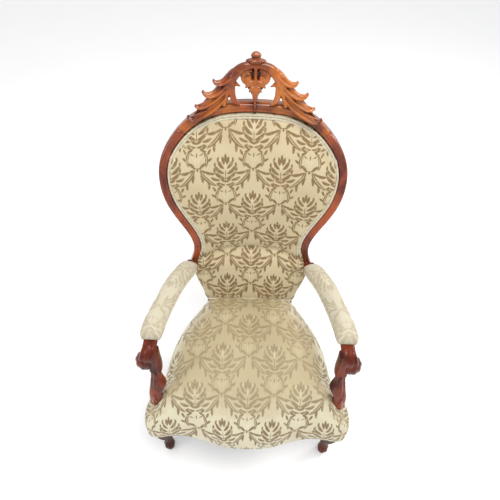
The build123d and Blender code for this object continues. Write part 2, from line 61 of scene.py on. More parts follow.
# The back's hoop along its outer edge: (x, z) from the top middle down the right side.
HOOP = [
    (0, 988), (62, 986), (120, 976), (176, 949), (219, 910), (248, 864),
    (258, 800), (240, 722), (203, 652), (177, 582), (184, 540), (198, 506),
]


# ---------------------------------------------------------------- curves and meshes
def smooth_line(points, count, closed=False):
    """Places along a cubic line through the points, evenly spaced in chord length."""
    p = np.array(points, dtype=float)
    if closed:
        wrap = 4
        p = np.vstack([p[-wrap:], p, p[:wrap + 1]])
    gaps = np.linalg.norm(np.diff(p, axis=0), axis=1)
    t = np.concatenate([[0], np.cumsum(gaps)])
    n = len(p)
    a = np.zeros((n, n))
    rhs = np.zeros_like(p)
    a[0, 0] = a[-1, -1] = 1
    for i in range(1, n - 1):
        a[i, i - 1] = gaps[i - 1]
        a[i, i] = 2 * (gaps[i - 1] + gaps[i])
        a[i, i + 1] = gaps[i]
        rhs[i] = 6 * ((p[i + 1] - p[i]) / gaps[i] - (p[i] - p[i - 1]) / gaps[i - 1])
    bend = np.linalg.solve(a, rhs)
    first, last = (t[wrap], t[-wrap - 1]) if closed else (t[0], t[-1])
    s = np.linspace(first, last, count, endpoint=not closed)
    i = np.clip(np.searchsorted(t, s, side="right") - 1, 0, n - 2)
    h = gaps[i][:, None]
    u = (s - t[i])[:, None]
    v = (t[i + 1] - s)[:, None]
    line = bend[i] * v ** 3 / (6 * h) + bend[i + 1] * u ** 3 / (6 * h)
    line += (p[i] / h - bend[i] * h / 6) * v + (p[i + 1] / h - bend[i + 1] * h / 6) * u
    return line


def place(points):
    """Drawing millimetres to scene metres."""
    p = np.array(points, dtype=float)
    p[..., 1] += ORIGIN_Y
    return p * MM


def flipped(side):
    """A setting that keeps places on the right side, or mirrors them to the left."""
    return lambda places: np.array(places, dtype=float) * np.array([side, 1, 1])


def run_along(line):
    """The distance along a line at each of its places."""
    return np.concatenate([[0], np.cumsum(np.linalg.norm(np.diff(line, axis=0), axis=1))])


def squarish(value, power):
    """A sine or cosine pushed out towards the side of a square."""
    return math.copysign(abs(value) ** power, value)


def make_object(name, vertices, faces, material, uv=None):
    """A smooth-shaded mesh object from drawing-frame vertices; uv is given per vertex in metres."""
    mesh = bpy.data.meshes.new(name)
    mesh.from_pydata([tuple(v) for v in place(vertices)], [], faces)
    if uv is not None:
        layer = mesh.uv_layers.new(name="cloth")
        for loop in mesh.loops:
            layer.data[loop.index].uv = uv[loop.vertex_index]
    mesh.validate()
    for polygon in mesh.polygons:
        polygon.use_smooth = True
    piece = bpy.data.objects.new(name, mesh)
    bpy.context.scene.collection.objects.link(piece)
    mesh.materials.append(material)
    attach(piece, "root")
    return piece


def grid_faces(rows, columns, close_columns=False):
    """Quads of a grid of rows by columns of vertices."""
    faces = []
    for i in range(rows - 1):
        for j in range(columns if close_columns else columns - 1):
            k, m = i + 1, (j + 1) % columns
            faces.append((i * columns + j, i * columns + m, k * columns + m, k * columns + j))
    return faces


def capped_faces(rings, around):
    """Quads of a closed tube of rings, with one face over each end."""
    ends = [tuple(range(around - 1, -1, -1)), tuple(range((rings - 1) * around, rings * around))]
    return grid_faces(rings, around, close_columns=True) + ends


def face_outwards(piece, weld=0.0):
    """Point every face outwards, after welding vertices closer than weld metres."""
    mesh = bmesh.new()
    mesh.from_mesh(piece.data)
    if weld:
        bmesh.ops.remove_doubles(mesh, verts=mesh.verts, dist=weld)
    bmesh.ops.recalc_face_normals(mesh, faces=mesh.faces)
    mesh.to_mesh(piece.data)
    mesh.free()


def tidy(piece):
    """Weld doubled vertices, point every face outwards and leave the end caps flat."""
    face_outwards(piece, weld=2e-5)
    for polygon in piece.data.polygons:
        polygon.use_smooth = len(polygon.vertices) <= 4


def apply_modifiers(piece):
    """Replace a piece's mesh by what its modifiers make of it."""
    depsgraph = bpy.context.evaluated_depsgraph_get()
    mesh = bpy.data.meshes.new_from_object(piece.evaluated_get(depsgraph), depsgraph=depsgraph)
    piece.modifiers.clear()
    piece.data = mesh
    for polygon in mesh.polygons:
        polygon.use_smooth = True


def thicken(piece, offset=-1):
    """Give a single sheet of cloth its thickness, on the side that offset says."""
    sheet = piece.modifiers.new("thickness", "SOLIDIFY")
    sheet.thickness = FABRIC * MM
    sheet.offset = offset
    apply_modifiers(piece)


def sweep_form(sections):
    """Vertices and faces of closed rings joined into one capped form."""
    vertices = [tuple(p) for ring in sections for p in ring]
    return vertices, capped_faces(len(sections), len(sections[0]))


def swept(name, line, sections, material):
    """A closed piece along a line; sections[i] is a ring of points already in place."""
    vertices, faces = sweep_form(sections)
    around = len(sections[0])
    uv = [(j / around, run * MM) for run in run_along(line) for j in range(around)]
    return make_object(name, vertices, faces, material, uv)


def ring_frames(line, up):
    """Side and up directions square to a line, for sections that keep upright."""
    tangent = np.gradient(line, axis=0)
    tangent /= np.linalg.norm(tangent, axis=1)[:, None]
    side = np.cross(tangent, np.array(up, dtype=float))
    side /= np.linalg.norm(side, axis=1)[:, None]
    return side, np.cross(side, tangent), tangent


def tube(name, line, radius, material, around=10, up=(0, 1, 0)):
    """A round cord along a line."""
    side, above, _ = ring_frames(line, up)
    turn = np.linspace(0, 2 * math.pi, around, endpoint=False)
    sections = [
        [line[i] + radius * (math.cos(a) * side[i] + math.sin(a) * above[i]) for a in turn]
        for i in range(len(line))
    ]
    return swept(name, line, sections, material)


# ---------------------------------------------------------------- the back's surfaces
def back_front_y(z):
    """How far back the frame's front face lies at height z, at the chair's middle."""
    return 128 + 16 * np.log(1 + np.exp((np.asarray(z, dtype=float) - 530) / 55))


def frame_y(x, z):
    """The same for a place x to the side, on the bend of the back."""
    return back_front_y(z) - np.asarray(x) ** 2 / (2 * BACK_RADIUS)


# One side of the hoop as evenly spaced places, and the unit direction into the hoop at each.
HALF_COUNT = 90
half_hoop = smooth_line(HOOP, HALF_COUNT)
step = np.gradient(half_hoop, axis=0)
step[0] = (1, 0)
step /= np.linalg.norm(step, axis=1)[:, None]
half_normal = np.stack([step[:, 1], -step[:, 0]], axis=1)


def hoop_half(inset, forward=0.0, first=0, last=None):
    """One side of the hoop, inset from its outer edge, forward of the frame's front."""
    p = half_hoop[first:last] + half_normal[first:last] * inset
    return np.stack([p[:, 0], frame_y(p[:, 0], p[:, 1]) - forward, p[:, 1]], axis=1)


def hoop_full(inset, forward, last):
    """The same on both sides, from the left's last place over the top to the right's."""
    right = hoop_half(inset, forward, 0, last)
    return np.vstack([flipped(-1)(right[:0:-1]), right])


# ---------------------------------------------------------------- materials
class Nodes:
    """A material's node tree, with short ways to add the nodes the finishes share."""

    def __init__(self, tree):
        self.tree = tree

    def add(self, kind, **settings):
        node = self.tree.nodes.new(kind)
        for name, value in settings.items():
            setattr(node, name, value)
        return node

    def put(self, socket, value):
        if isinstance(value, bpy.types.NodeSocket):
            self.tree.links.new(value, socket)
        else:
            socket.default_value = value

    def math(self, operation, first, second=0.0, third=0.0):
        node = self.add("ShaderNodeMath", operation=operation)
        for socket, value in zip(node.inputs, (first, second, third)):
            self.put(socket, value)
        return node.outputs[0]

    def step(self, value, low, high):
        """0 below low and 1 above high, smooth between; low may be the greater."""
        node = self.add("ShaderNodeMapRange", interpolation_type="SMOOTHSTEP")
        self.put(node.inputs[0], value)
        node.inputs[1].default_value = low
        node.inputs[2].default_value = high
        return node.outputs[0]

    def mix(self, share, first, second):
        node = self.add("ShaderNodeMix", data_type="RGBA")
        self.put(node.inputs[0], share)
        self.put(node.inputs[6], first)
        self.put(node.inputs[7], second)
        return node.outputs[2]

    def noise(self, vector, scale, detail=4.0, rough=0.55, distort=0.0):
        node = self.add("ShaderNodeTexNoise")
        self.put(node.inputs["Vector"], vector)
        node.inputs["Scale"].default_value = scale
        node.inputs["Detail"].default_value = detail
        node.inputs["Roughness"].default_value = rough
        node.inputs["Distortion"].default_value = distort
        return node.outputs["Fac"]

    def stretch(self, vector, scale):
        node = self.add("ShaderNodeMapping")
        self.put(node.inputs[0], vector)
        node.inputs["Scale"].default_value = scale
        return node.outputs[0]

    def bump(self, height, strength, distance):
        node = self.add("ShaderNodeBump")
        self.put(node.inputs["Height"], height)
        node.inputs["Strength"].default_value = strength
        node.inputs["Distance"].default_value = distance
        return node.outputs[0]


def new_material(name):
    """A node material, the short ways to add to it, and its surface shader."""
    material = bpy.data.materials.new(name)
    material.use_nodes = True
    tree = material.node_tree
    return material, Nodes(tree), tree.nodes["Principled BSDF"]


def wood(name, dark, middle, light, rough=0.3, coat=0.5, along=(1, 1, 1), painted_shade=0.75, shine=0.35):
    """Wood with streaked grain, pores and tone drift, and painted shade that darkens the hollows of
    the carving.
    """
    material, n, surface = new_material(name)
    at = n.add("ShaderNodeTexCoord").outputs["Object"]
    grain = n.noise(n.stretch(at, along), 28, 6, 0.6, 0.6)
    streak = n.noise(n.stretch(at, tuple(3 * a for a in along)), 60, 3, 0.7)
    cloud = n.noise(at, 9, 2)
    tone = n.mix(n.step(grain, 0.36, 0.62), dark, middle)
    tone = n.mix(n.math("MULTIPLY", n.step(cloud, 0.42, 0.68), 0.75), tone, light)
    tone = n.mix(n.math("MULTIPLY", n.step(streak, 0.52, 0.7), 0.4), tone, dark)
    # Painted shade: ambient occlusion pulls the colour towards a quarter of the dark tone in
    # hollows and creases, by the given share.
    hollow = n.add("ShaderNodeAmbientOcclusion", samples=6)
    hollow.inputs["Distance"].default_value = 0.011
    open_share = n.step(hollow.outputs["AO"], 0.30, 0.92)
    shaded_tone = n.mix(painted_shade, tone, (dark[0] * 0.25, dark[1] * 0.25, dark[2] * 0.25, 1))
    tone = n.mix(open_share, shaded_tone, tone)
    n.put(surface.inputs["Base Color"], tone)
    n.put(surface.inputs["Roughness"], n.math("MULTIPLY_ADD", grain, 0.18, rough - 0.09))
    surface.inputs["Specular IOR Level"].default_value = shine
    surface.inputs["Coat Weight"].default_value = coat
    surface.inputs["Coat Roughness"].default_value = 0.16
    relief = n.math("ADD", n.math("MULTIPLY", streak, 0.5), n.noise(at, 14, 2))
    n.put(surface.inputs["Normal"], n.bump(relief, 0.22, 0.0007))
    return material


def woven(name, dark, light, scale=900, rough=0.85, sheen=0.2):
    """Plain woven stuff: two crossing sets of threads, uneven in tone."""
    material, n, surface = new_material(name)
    at = n.add("ShaderNodeTexCoord").outputs["Object"]
    parts = n.add("ShaderNodeSeparateXYZ")
    n.put(parts.inputs[0], at)
    waves = [n.math("SINE", n.math("MULTIPLY", parts.outputs[i], scale)) for i in range(3)]
    crossings = [n.math("ADD", waves[i], waves[i + 1]) for i in range(2)]
    thread = n.math("MULTIPLY", *crossings)
    fleck = n.noise(at, 160, 3, 0.7)
    share = n.math("MULTIPLY_ADD", thread, 0.12, fleck)
    n.put(surface.inputs["Base Color"], n.mix(n.step(share, 0.25, 0.75), dark, light))
    surface.inputs["Roughness"].default_value = rough
    surface.inputs["Sheen Weight"].default_value = sheen
    n.put(surface.inputs["Normal"], n.bump(share, 0.5, 0.0006))
    return material


def metal(name, tone, rough):
    """Drawn wire and screws: worn metal with fine scratches."""
    material, n, surface = new_material(name)
    at = n.add("ShaderNodeTexCoord").outputs["Object"]
    wear = n.noise(at, 220, 4, 0.6)
    worn = tuple(0.45 * c for c in tone[:3]) + (1,)
    n.put(surface.inputs["Base Color"], n.mix(n.step(wear, 0.35, 0.7), worn, tone))
    surface.inputs["Metallic"].default_value = 1.0
    n.put(surface.inputs["Roughness"], n.math("MULTIPLY_ADD", wear, 0.4, rough - 0.2))
    n.put(surface.inputs["Normal"], n.bump(wear, 0.2, 0.0003))
    return material


# The damask's repeat across and up, and its lowest place below a motif's knot, in metres.
REPEAT_X = 0.150
REPEAT_Y = 0.212
LOWEST = -0.066
# How close its threads lie, in radians a metre.
WARP = 5200
WEFT = 4100

# The woven figure's leaves, in millimetres from the knot of one motif; the left half mirrors them.
# Each is (middle x, middle y, half length, half width, turn in degrees, bend).
PALMETTE = [
    (7, 70, 9, 3.6, 38, 0.010), (16, 83, 16, 4.8, 38, 0.012), (17, 99, 16, 4.8, 46, 0.012),
    (13, 115, 14, 4.4, 58, 0.010), (6, 127, 11, 4.0, 76, 0), (0, 134, 11, 3.4, 90, 0),
    (29, 101, 7, 3.0, 84, 0), (28, 116, 6.5, 2.8, 92, 0), (20, 130, 6.5, 2.8, 98, 0),
    (11, 73, 5, 2.4, 80, 0), (0, 88, 28, 1.1, 90, 0),
]
LONG_LEAVES = [
    (25, -30, 33, 5.2, -50, 0.006), (33, -13, 15, 4.2, -14, 0.014), (47, -32, 13, 4.2, -22, 0.016),
    (12, -29, 12, 3.4, -78, -0.010), (29, -50, 12, 3.6, -84, -0.012), (56, -50, 9, 3.2, -40, 0.010),
    (18, -8, 9, 3.0, -30, 0),
]
CUP = [
    (24, 26, 21, 4.2, 98, 0.012), (15, 8, 12, 4.0, 40, -0.016), (32, 44, 8, 3.2, 62, 0),
    (16, 48, 9, 3.0, 150, -0.020), (34, 24, 7, 3.2, 40, 0), (9, 58, 8, 3.0, 20, 0.020),
    (19, 61, 4.5, 3.0, 100, 0), (0, -3, 5, 2.6, 90, 0), (6, 1, 4, 1.8, 20, 0),
    (0, 36, 6, 1.6, 90, 0), (12, 38, 6, 1.6, 40, 0.03),
]
EDGINGS = [
    (0, 110, 12, 2.4, 90, 0), (8, 27, 9, 0.9, 70, 0.02), (3, 22, 13, 0.8, 88, 0),
    (25, -30, 27, 0.9, -50, 0.006), (24, 26, 17, 0.8, 98, 0.012), (66, 4, 9, 2.2, 96, 0),
    (60, 22, 8, 1.8, 60, 0),
]


def leaf(n, x, y, form, soft=0.16):
    """1 inside a bent leaf, falling to 0 over its edge."""
    cx, cy, half_length, half_width, turn, bend = form
    c, s = math.cos(math.radians(turn)), math.sin(math.radians(turn))
    dx = n.math("SUBTRACT", x, cx * MM)
    dy = n.math("SUBTRACT", y, cy * MM)
    along = n.math("ADD", n.math("MULTIPLY", dx, c), n.math("MULTIPLY", dy, s))
    across = n.math("ADD", n.math("MULTIPLY", dx, -s), n.math("MULTIPLY", dy, c))
    share = n.math("MULTIPLY", along, 1 / (half_length * MM))
    square = n.math("MULTIPLY", share, share)
    if bend:
        bow = bend * half_length ** 2 * MM
        across = n.math("ADD", across, n.math("MULTIPLY_ADD", square, -bow, 0.3 * bow))
    wide = n.math("MULTIPLY", across, 1 / (half_width * MM))
    far = n.math("SQRT", n.math("MULTIPLY_ADD", wide, wide, square))
    return n.step(far, 1 + soft, 1 - soft)


def most(n, values):
    """The greatest of several values."""
    total = values[0]
    for value in values[1:]:
        total = n.math("MAXIMUM", total, value)
    return total


def damask_group():
    """The woven pattern: outputs how much of the motif and of its pale edging lies at a place.

    Lengths are in metres about one motif's knot: a heart-shaped cup above the knot, a leafy
    palmette above that, and pairs of long leaves running down to the neighbouring columns."""
    group = bpy.data.node_groups.new("damask_motif", "ShaderNodeTree")
    for name in ("x", "y"):
        group.interface.new_socket(name, in_out="INPUT", socket_type="NodeSocketFloat")
    for name in ("motif", "edging"):
        group.interface.new_socket(name, in_out="OUTPUT", socket_type="NodeSocketFloat")
    n = Nodes(group)
    source = n.add("NodeGroupInput")
    wrapped = n.math("WRAP", source.outputs["x"], REPEAT_X / 2, -REPEAT_X / 2)
    x = n.math("ABSOLUTE", wrapped)
    y = n.math("WRAP", source.outputs["y"], REPEAT_Y + LOWEST, LOWEST)
    figure = most(n, [leaf(n, x, y, form) for form in PALMETTE + LONG_LEAVES + CUP])
    pale = most(n, [leaf(n, x, y, form) for form in EDGINGS])
    motif = n.math("MULTIPLY", figure, n.math("MULTIPLY_ADD", pale, -0.8, 1.0))
    target = n.add("NodeGroupOutput")
    n.put(target.inputs["motif"], motif)
    n.put(target.inputs["edging"], pale)
    return group


MOTIF = damask_group()


def damask(name, ground, motif, pale, strength=1.0, shift=(0.0, 0.0), lit_upright=None):
    """Woven damask laid on the piece's cloth coordinates, which are in metres.

    With a paler upright tone given, light and shade are painted by the cloth's facing: where it
    lies level, the ground keeps its darker shaded tone and the figure is fainter; where it hangs,
    the ground takes the paler lit tone and the figure stays crisp."""
    material, n, surface = new_material(name)
    at = n.add("ShaderNodeUVMap", uv_map="cloth").outputs[0]
    drift = n.noise(at, 18, 2)
    parts = n.add("ShaderNodeSeparateXYZ")
    n.put(parts.inputs[0], at)
    across = n.math("ADD", parts.outputs[0], n.math("MULTIPLY_ADD", drift, 0.004, shift[0] - 0.002))
    up = n.math("ADD", parts.outputs[1], n.math("MULTIPLY_ADD", drift, 0.005, shift[1] - 0.0025))
    layers = []
    for drop in (0.0, 0.5):
        node = n.add("ShaderNodeGroup", node_tree=MOTIF)
        n.put(node.inputs["x"], n.math("ADD", across, drop * REPEAT_X))
        n.put(node.inputs["y"], n.math("ADD", up, drop * REPEAT_Y))
        layers.append(node)
    figure = n.math("MAXIMUM", layers[0].outputs["motif"], layers[1].outputs["motif"])
    edging = n.math("MAXIMUM", layers[0].outputs["edging"], layers[1].outputs["edging"])
    wear = n.noise(at, 75, 4, 0.65)
    figure = n.math("MULTIPLY", figure, n.math("MULTIPLY", n.step(wear, 0.18, 0.5), strength))
    # Painted light and shade: level cloth keeps the darker shaded ground and a fainter figure, and
    # hanging cloth takes the paler lit tone.
    if lit_upright:
        facing = n.add("ShaderNodeSeparateXYZ")
        n.put(facing.inputs[0], n.add("ShaderNodeNewGeometry").outputs["Normal"])
        hanging = n.step(n.math("MULTIPLY_ADD", wear, 0.25, facing.outputs[2]), 1.02, 0.72)
        figure = n.math("MULTIPLY", figure, n.math("MULTIPLY_ADD", hanging, 0.42, 0.58))
        ground = n.mix(hanging, ground, lit_upright)
    thread_x = n.math("SINE", n.math("MULTIPLY", parts.outputs[0], WARP))
    thread_y = n.math("SINE", n.math("MULTIPLY", parts.outputs[1], WEFT))
    thread = n.math("MULTIPLY", thread_x, thread_y)
    soil = n.noise(at, 7, 3)
    tone = n.mix(n.math("MULTIPLY", edging, 0.5 * strength), ground, pale)
    tone = n.mix(figure, tone, motif)
    dull = tuple(1.4 * c for c in motif[:3]) + (1,)
    tone = n.mix(n.math("MULTIPLY", n.step(soil, 0.45, 0.75), 0.22), tone, dull)
    tone = n.mix(n.math("MULTIPLY_ADD", thread, 0.05, 0.05), tone, motif)
    n.put(surface.inputs["Base Color"], tone)
    n.put(surface.inputs["Roughness"], n.math("MULTIPLY_ADD", figure, -0.14, 0.72))
    surface.inputs["Sheen Weight"].default_value = 0.12
    surface.inputs["Sheen Roughness"].default_value = 0.45
    surface.inputs["Anisotropic"].default_value = 0.3
    relief = n.math("ADD", n.math("MULTIPLY", thread, 0.12), n.math("MULTIPLY", figure, 0.55))
    relief = n.math("ADD", relief, n.math("MULTIPLY", n.noise(at, 24, 3), 0.9))
    n.put(surface.inputs["Normal"], n.bump(relief, 0.4, 0.0011))
    return material


MAHOGANY = wood(
    "mahogany_polished", (0.080, 0.011, 0.003, 1), (0.255, 0.040, 0.009, 1),
    (0.400, 0.080, 0.016, 1), rough=0.22, coat=0.45, along=(0.9, 0.9, 0.25), painted_shade=0.35,
)
MAHOGANY_CREST = wood(
    "mahogany_crest", (0.110, 0.016, 0.003, 1), (0.330, 0.066, 0.009, 1),
    (0.560, 0.170, 0.022, 1), rough=0.22, coat=0.45, along=(0.3, 0.9, 0.9), painted_shade=0.97,
)
MAHOGANY_ARM = wood(
    "mahogany_arm", (0.040, 0.006, 0.003, 1), (0.150, 0.020, 0.006, 1),
    (0.300, 0.044, 0.010, 1), rough=0.26, coat=0.12, along=(0.9, 0.5, 0.4), painted_shade=0.8, shine=0.16,
)
# A darker copy of the mahogany: painted shade for the front legs, which stand in shade under the
# seat.
MAHOGANY_LEG_SHADED = wood(
    "mahogany_leg_shaded", (0.016, 0.004, 0.002, 1), (0.060, 0.010, 0.004, 1),
    (0.120, 0.022, 0.007, 1), rough=0.4, coat=0.0, along=(0.9, 0.9, 0.3), painted_shade=0.8, shine=0.06,
)
BEECH = wood(
    "beech_frame", (0.30, 0.17, 0.085, 1), (0.46, 0.29, 0.15, 1), (0.55, 0.37, 0.21, 1),
    rough=0.6, coat=0.0, along=(0.3, 0.9, 0.9), painted_shade=0.3,
)
BACK_DAMASK = damask(
    "damask_back", (0.560, 0.470, 0.290, 1), (0.205, 0.130, 0.050, 1), (0.720, 0.660, 0.480, 1),
    shift=(REPEAT_X / 2, 0.087),
)
# The seat's ground is its shaded tone for the level top, and the last tone is the painted lit tone
# for the cloth where it hangs.
SEAT_DAMASK = damask(
    "damask_seat", (0.470, 0.395, 0.235, 1), (0.205, 0.140, 0.062, 1), (0.680, 0.620, 0.440, 1),
    shift=(REPEAT_X / 2, 0.035), lit_upright=(0.640, 0.590, 0.430, 1),
)
ARM_DAMASK = damask(
    "damask_arm", (0.545, 0.500, 0.385, 1), (0.360, 0.300, 0.190, 1), (0.680, 0.650, 0.540, 1),
    strength=0.62,
)
GIMP = woven("gimp_cream", (0.38, 0.33, 0.22, 1), (0.62, 0.57, 0.43, 1), 2600)
CANVAS = woven("hessian_canvas", (0.17, 0.11, 0.05, 1), (0.40, 0.29, 0.15, 1), 1700)
WEBBING = woven("jute_webbing", (0.20, 0.14, 0.07, 1), (0.46, 0.36, 0.21, 1), 1500)
DUST_CLOTH = woven("black_cloth", (0.012, 0.012, 0.014, 1), (0.04, 0.04, 0.045, 1), 2000)
STUFFING = woven("horsehair", (0.05, 0.03, 0.015, 1), (0.22, 0.15, 0.08, 1), 700)
SPRING = metal("spring_wire", (0.42, 0.36, 0.28, 1), 0.45)
SCREW = metal("screw_steel", (0.5, 0.49, 0.46, 1), 0.4)


# ---------------------------------------------------------------- shapes for carving
# Places along a carved leaf, and how far it is sunk into the ground behind it.
BLADE_STEPS = 22
BLADE_ROOT = 4


def blade(places, widths, height, across=9, vein=0.0, cup=0.0):
    """A carved leaf: a domed strip along places (x, z, rise), widths across, sharp at both ends.

    Works in the flat: returns vertices (x, z, rise) and faces, closed underneath."""
    line = smooth_line(places, BLADE_STEPS)
    share = np.linspace(0, 1, BLADE_STEPS)
    spread = np.interp(share, np.linspace(0, 1, len(widths)), widths)
    ahead = np.gradient(line[:, :2], axis=0)
    ahead /= np.linalg.norm(ahead, axis=1)[:, None]
    side = np.stack([ahead[:, 1], -ahead[:, 0]], axis=1)
    vertices = []
    for i in range(BLADE_STEPS):
        for j in range(across):
            share = 2 * j / (across - 1) - 1
            dome = math.sqrt(max(0.0, 1 - share * share))
            crease = vein * math.exp(-(share / 0.22) ** 2)
            rise = line[i, 2] + height * (dome - crease + cup * share) * min(1, spread[i] / 4)
            at = line[i, :2] + side[i] * share * spread[i] / 2
            vertices.append((at[0], at[1], rise))
        for j in range(across - 2, 0, -1):
            share = 2 * j / (across - 1) - 1
            at = line[i, :2] + side[i] * share * spread[i] / 2
            vertices.append((at[0], at[1], line[i, 2] - BLADE_ROOT))
    return vertices, capped_faces(BLADE_STEPS, 2 * across - 2)


def ball(centre, radii, rings=10, around=16):
    """A rounded bead about centre (x, z, rise)."""
    vertices = []
    for i in range(rings + 1):
        tilt = math.pi * i / rings
        for j in range(around):
            turn = 2 * math.pi * j / around
            vertices.append((
                centre[0] + radii[0] * math.sin(tilt) * math.cos(turn),
                centre[1] + radii[1] * math.sin(tilt) * math.sin(turn),
                centre[2] + radii[2] * math.cos(tilt),
            ))
    return vertices, grid_faces(rings + 1, around, close_columns=True)


def plate(outline, bottom, top):
    """A flat board between two rises, cut to a closed outline of (x, z)."""
    count = len(outline)
    vertices = [(x, z, bottom) for x, z in outline] + [(x, z, top) for x, z in outline]
    faces = [tuple(range(count)), tuple(range(2 * count - 1, count - 1, -1))]
    faces += [(i, (i + 1) % count, count + (i + 1) % count, count + i) for i in range(count)]
    return vertices, faces


# Where the cresting stands on the rail, and how far it leans back.
CREST_BASE = 994
CREST_RAKE = math.radians(13)


def on_crest(places):
    """Carving places (x, z, rise) set on the raked, gently curved plane of the cresting."""
    p = np.array(places, dtype=float)
    x, z, rise = p[:, 0], p[:, 1], p[:, 2]
    foot = float(back_front_y(CREST_BASE))
    y = foot + (z - CREST_BASE) * math.tan(CREST_RAKE) - x ** 2 / (2 * BACK_RADIUS)
    return np.stack([x, y - rise * math.cos(CREST_RAKE), z + rise * math.sin(CREST_RAKE)], axis=1)


def carving(name, forms, setting, material, voxel=0.0012, soften=2, both_sides=False):
    """Joins closed forms into one carved piece, set in place by setting(vertices)."""
    vertices, faces = [], []
    for form_vertices, form_faces in forms:
        placed = setting(form_vertices)
        for sign in ((1, -1) if both_sides else (1,)):
            start = len(vertices)
            vertices += [(sign * p[0], p[1], p[2]) for p in placed]
            faces += [tuple(start + k for k in face) for face in form_faces]
    piece = make_object(name, vertices, faces, material)
    tidy(piece)
    remesh = piece.modifiers.new("one piece", "REMESH")
    remesh.mode = "VOXEL"
    remesh.voxel_size = voxel
    smooth = piece.modifiers.new("worked edges", "SMOOTH")
    smooth.factor = 0.5
    smooth.iterations = soften
    apply_modifiers(piece)
    return piece


# ---------------------------------------------------------------- cresting
def crest_forms():
    """The right half of the openwork cresting: arch, stacked leaves, sickle, lobe and pendant."""
    forms = []
    # The ground behind the leaves, left open round the stem, the sickle leaf and the pendant.
    ground = [(66, 1030), (74, 1012), (84, 998), (98, 984), (128, 970), (152, 957), (160, 960),
              (140, 984), (124, 1000), (104, 1018), (88, 1036), (66, 1054), (50, 1068), (28, 1076),
              (0, 1080), (0, 1036), (14, 1036), (28, 1040), (40, 1056), (52, 1052)]
    forms.append(plate(ground, -17, 0))
    # Leaves stacked down the shoulder; each springs from the arch and turns up at its tip.
    for places, widths in (
        ([(34, 1070, 5), (60, 1056, 10), (82, 1040, 13), (97, 1040, 15), (104, 1048, 11)],
         [16, 22, 20, 13, 4]),
        ([(54, 1054, 4), (80, 1032, 9), (104, 1014, 13), (122, 1014, 15), (131, 1023, 10)],
         [14, 22, 22, 15, 4]),
        ([(60, 1036, 3), (90, 1012, 8), (120, 991, 12), (141, 985, 14), (151, 990, 9)],
         [12, 21, 20, 14, 4]),
        ([(70, 1012, 3), (100, 985, 8), (134, 965, 12), (160, 957, 13), (171, 966, 9)],
         [11, 20, 22, 16, 4]),
    ):
        forms.append(blade(places, widths, 12, 11, 0.5, 0.35))
        upper = [(x + 4, z + 5, rise + 2) for x, z, rise in places[:4]]
        forms.append(blade(upper, [3, 5, 6, 3], 6, 7))
    forms.append(blade(
        [(82, 990, 2), (112, 972, 5), (142, 956, 7), (166, 952, 6)], [8, 12, 13, 5], 7, 7, 0.2))
    # The arch: a broad smooth scroll from the finial that narrows to the stem on the rail.
    forms.append(blade(
        [(0, 1077, 8), (20, 1076, 10), (40, 1068, 11), (54, 1052, 11), (64, 1032, 9),
         (71, 1008, 7), (79, 984, 5)],
        [15, 21, 25, 23, 16, 11, 11], 10, 11, 0.10))
    forms.append(blade(
        [(46, 1058, 14), (60, 1040, 13), (67, 1016, 10), (76, 990, 7)], [3, 6, 5, 4], 5, 7))
    # The sickle leaf inside the arch, hooked towards the middle, with a spur half way.
    forms.append(blade(
        [(47, 1056, 6), (56, 1036, 8), (58, 1016, 9), (52, 998, 9), (38, 986, 6)],
        [9, 15, 18, 15, 3], 9, 9, 0.4))
    forms.append(blade([(54, 1042, 5), (46, 1034, 7), (37, 1030, 5)], [11, 9, 2], 6, 7))
    # The curled lobe that makes one half of the heart at the middle.
    forms.append(blade(
        [(8, 1064, 6), (20, 1066, 9), (30, 1058, 10), (30, 1045, 10), (20, 1036, 8), (9, 1033, 6)],
        [8, 10, 11, 11, 9, 5], 6, 9, 0.15))
    forms.append(ball((18, 1047, 6), (11.5, 15, 9.5)))
    forms.append(blade([(10, 1058, 14), (20, 1060, 15), (27, 1052, 15)], [3, 5, 2], 4, 7))
    # The pendant: a keel with two pairs of wings, standing on the rail.
    keel = [(0, 1046), (13, 1042), (22, 1028), (13, 1017), (6, 1003), (4.5, 996), (4.5, 970),
            (0, 970)]
    forms.append(plate(keel, -16, 3))
    forms.append(blade([(0, 1042, 7), (12, 1037, 11), (25, 1027, 8)], [12, 15, 4], 7, 7, 0.3))
    forms.append(blade([(1, 1032, 8), (8, 1025, 12), (16, 1017, 8)], [12, 14, 3], 7, 7, 0.3))
    forms.append(blade([(0, 1034, 10), (2, 1016, 12), (4, 1002, 8)], [10, 15, 6], 7, 7, 0.2))
    forms.append(blade([(0, 1084, 9), (0, 1066, 12), (0, 1048, 12), (0, 1020, 10), (0, 972, 8)],
                       [12, 9, 8, 8, 8], 7, 9))
    return forms


crest_carving = carving(
    "cresting", crest_forms(), on_crest, MAHOGANY_CREST, both_sides=True,
)
for node in ("crest_spray_left", "crest_spray_right", "crest_pendant"):
    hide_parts(node)

# The finial's profile, (radius, height) from the cresting up, turned and then fluted.
finial_profile = [
    (18, 1080), (23, 1087), (15, 1092), (10, 1094), (12, 1097), (11, 1101), (7.5, 1105),
    (3.5, 1107), (0, 1107.6),
]
finial_line = smooth_line(finial_profile, 30)
turns = np.linspace(0, 2 * math.pi, 40, endpoint=False)
finial_sections = []
for radius, height in finial_line:
    fluting = 1 + 0.10 * np.cos(6 * turns) * (1 if height < 1093 else 0.5)
    reach = max(radius, 0.2) * fluting
    ring = [reach * np.cos(turns), np.full(40, height), reach * np.sin(turns) * 0.8 + 5]
    finial_sections.append(on_crest(np.stack(ring, axis=1)))
finial_middle = [ring.mean(axis=0) for ring in finial_sections]
finial = swept("finial", finial_middle, finial_sections, MAHOGANY_CREST)
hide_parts("crest_finial")


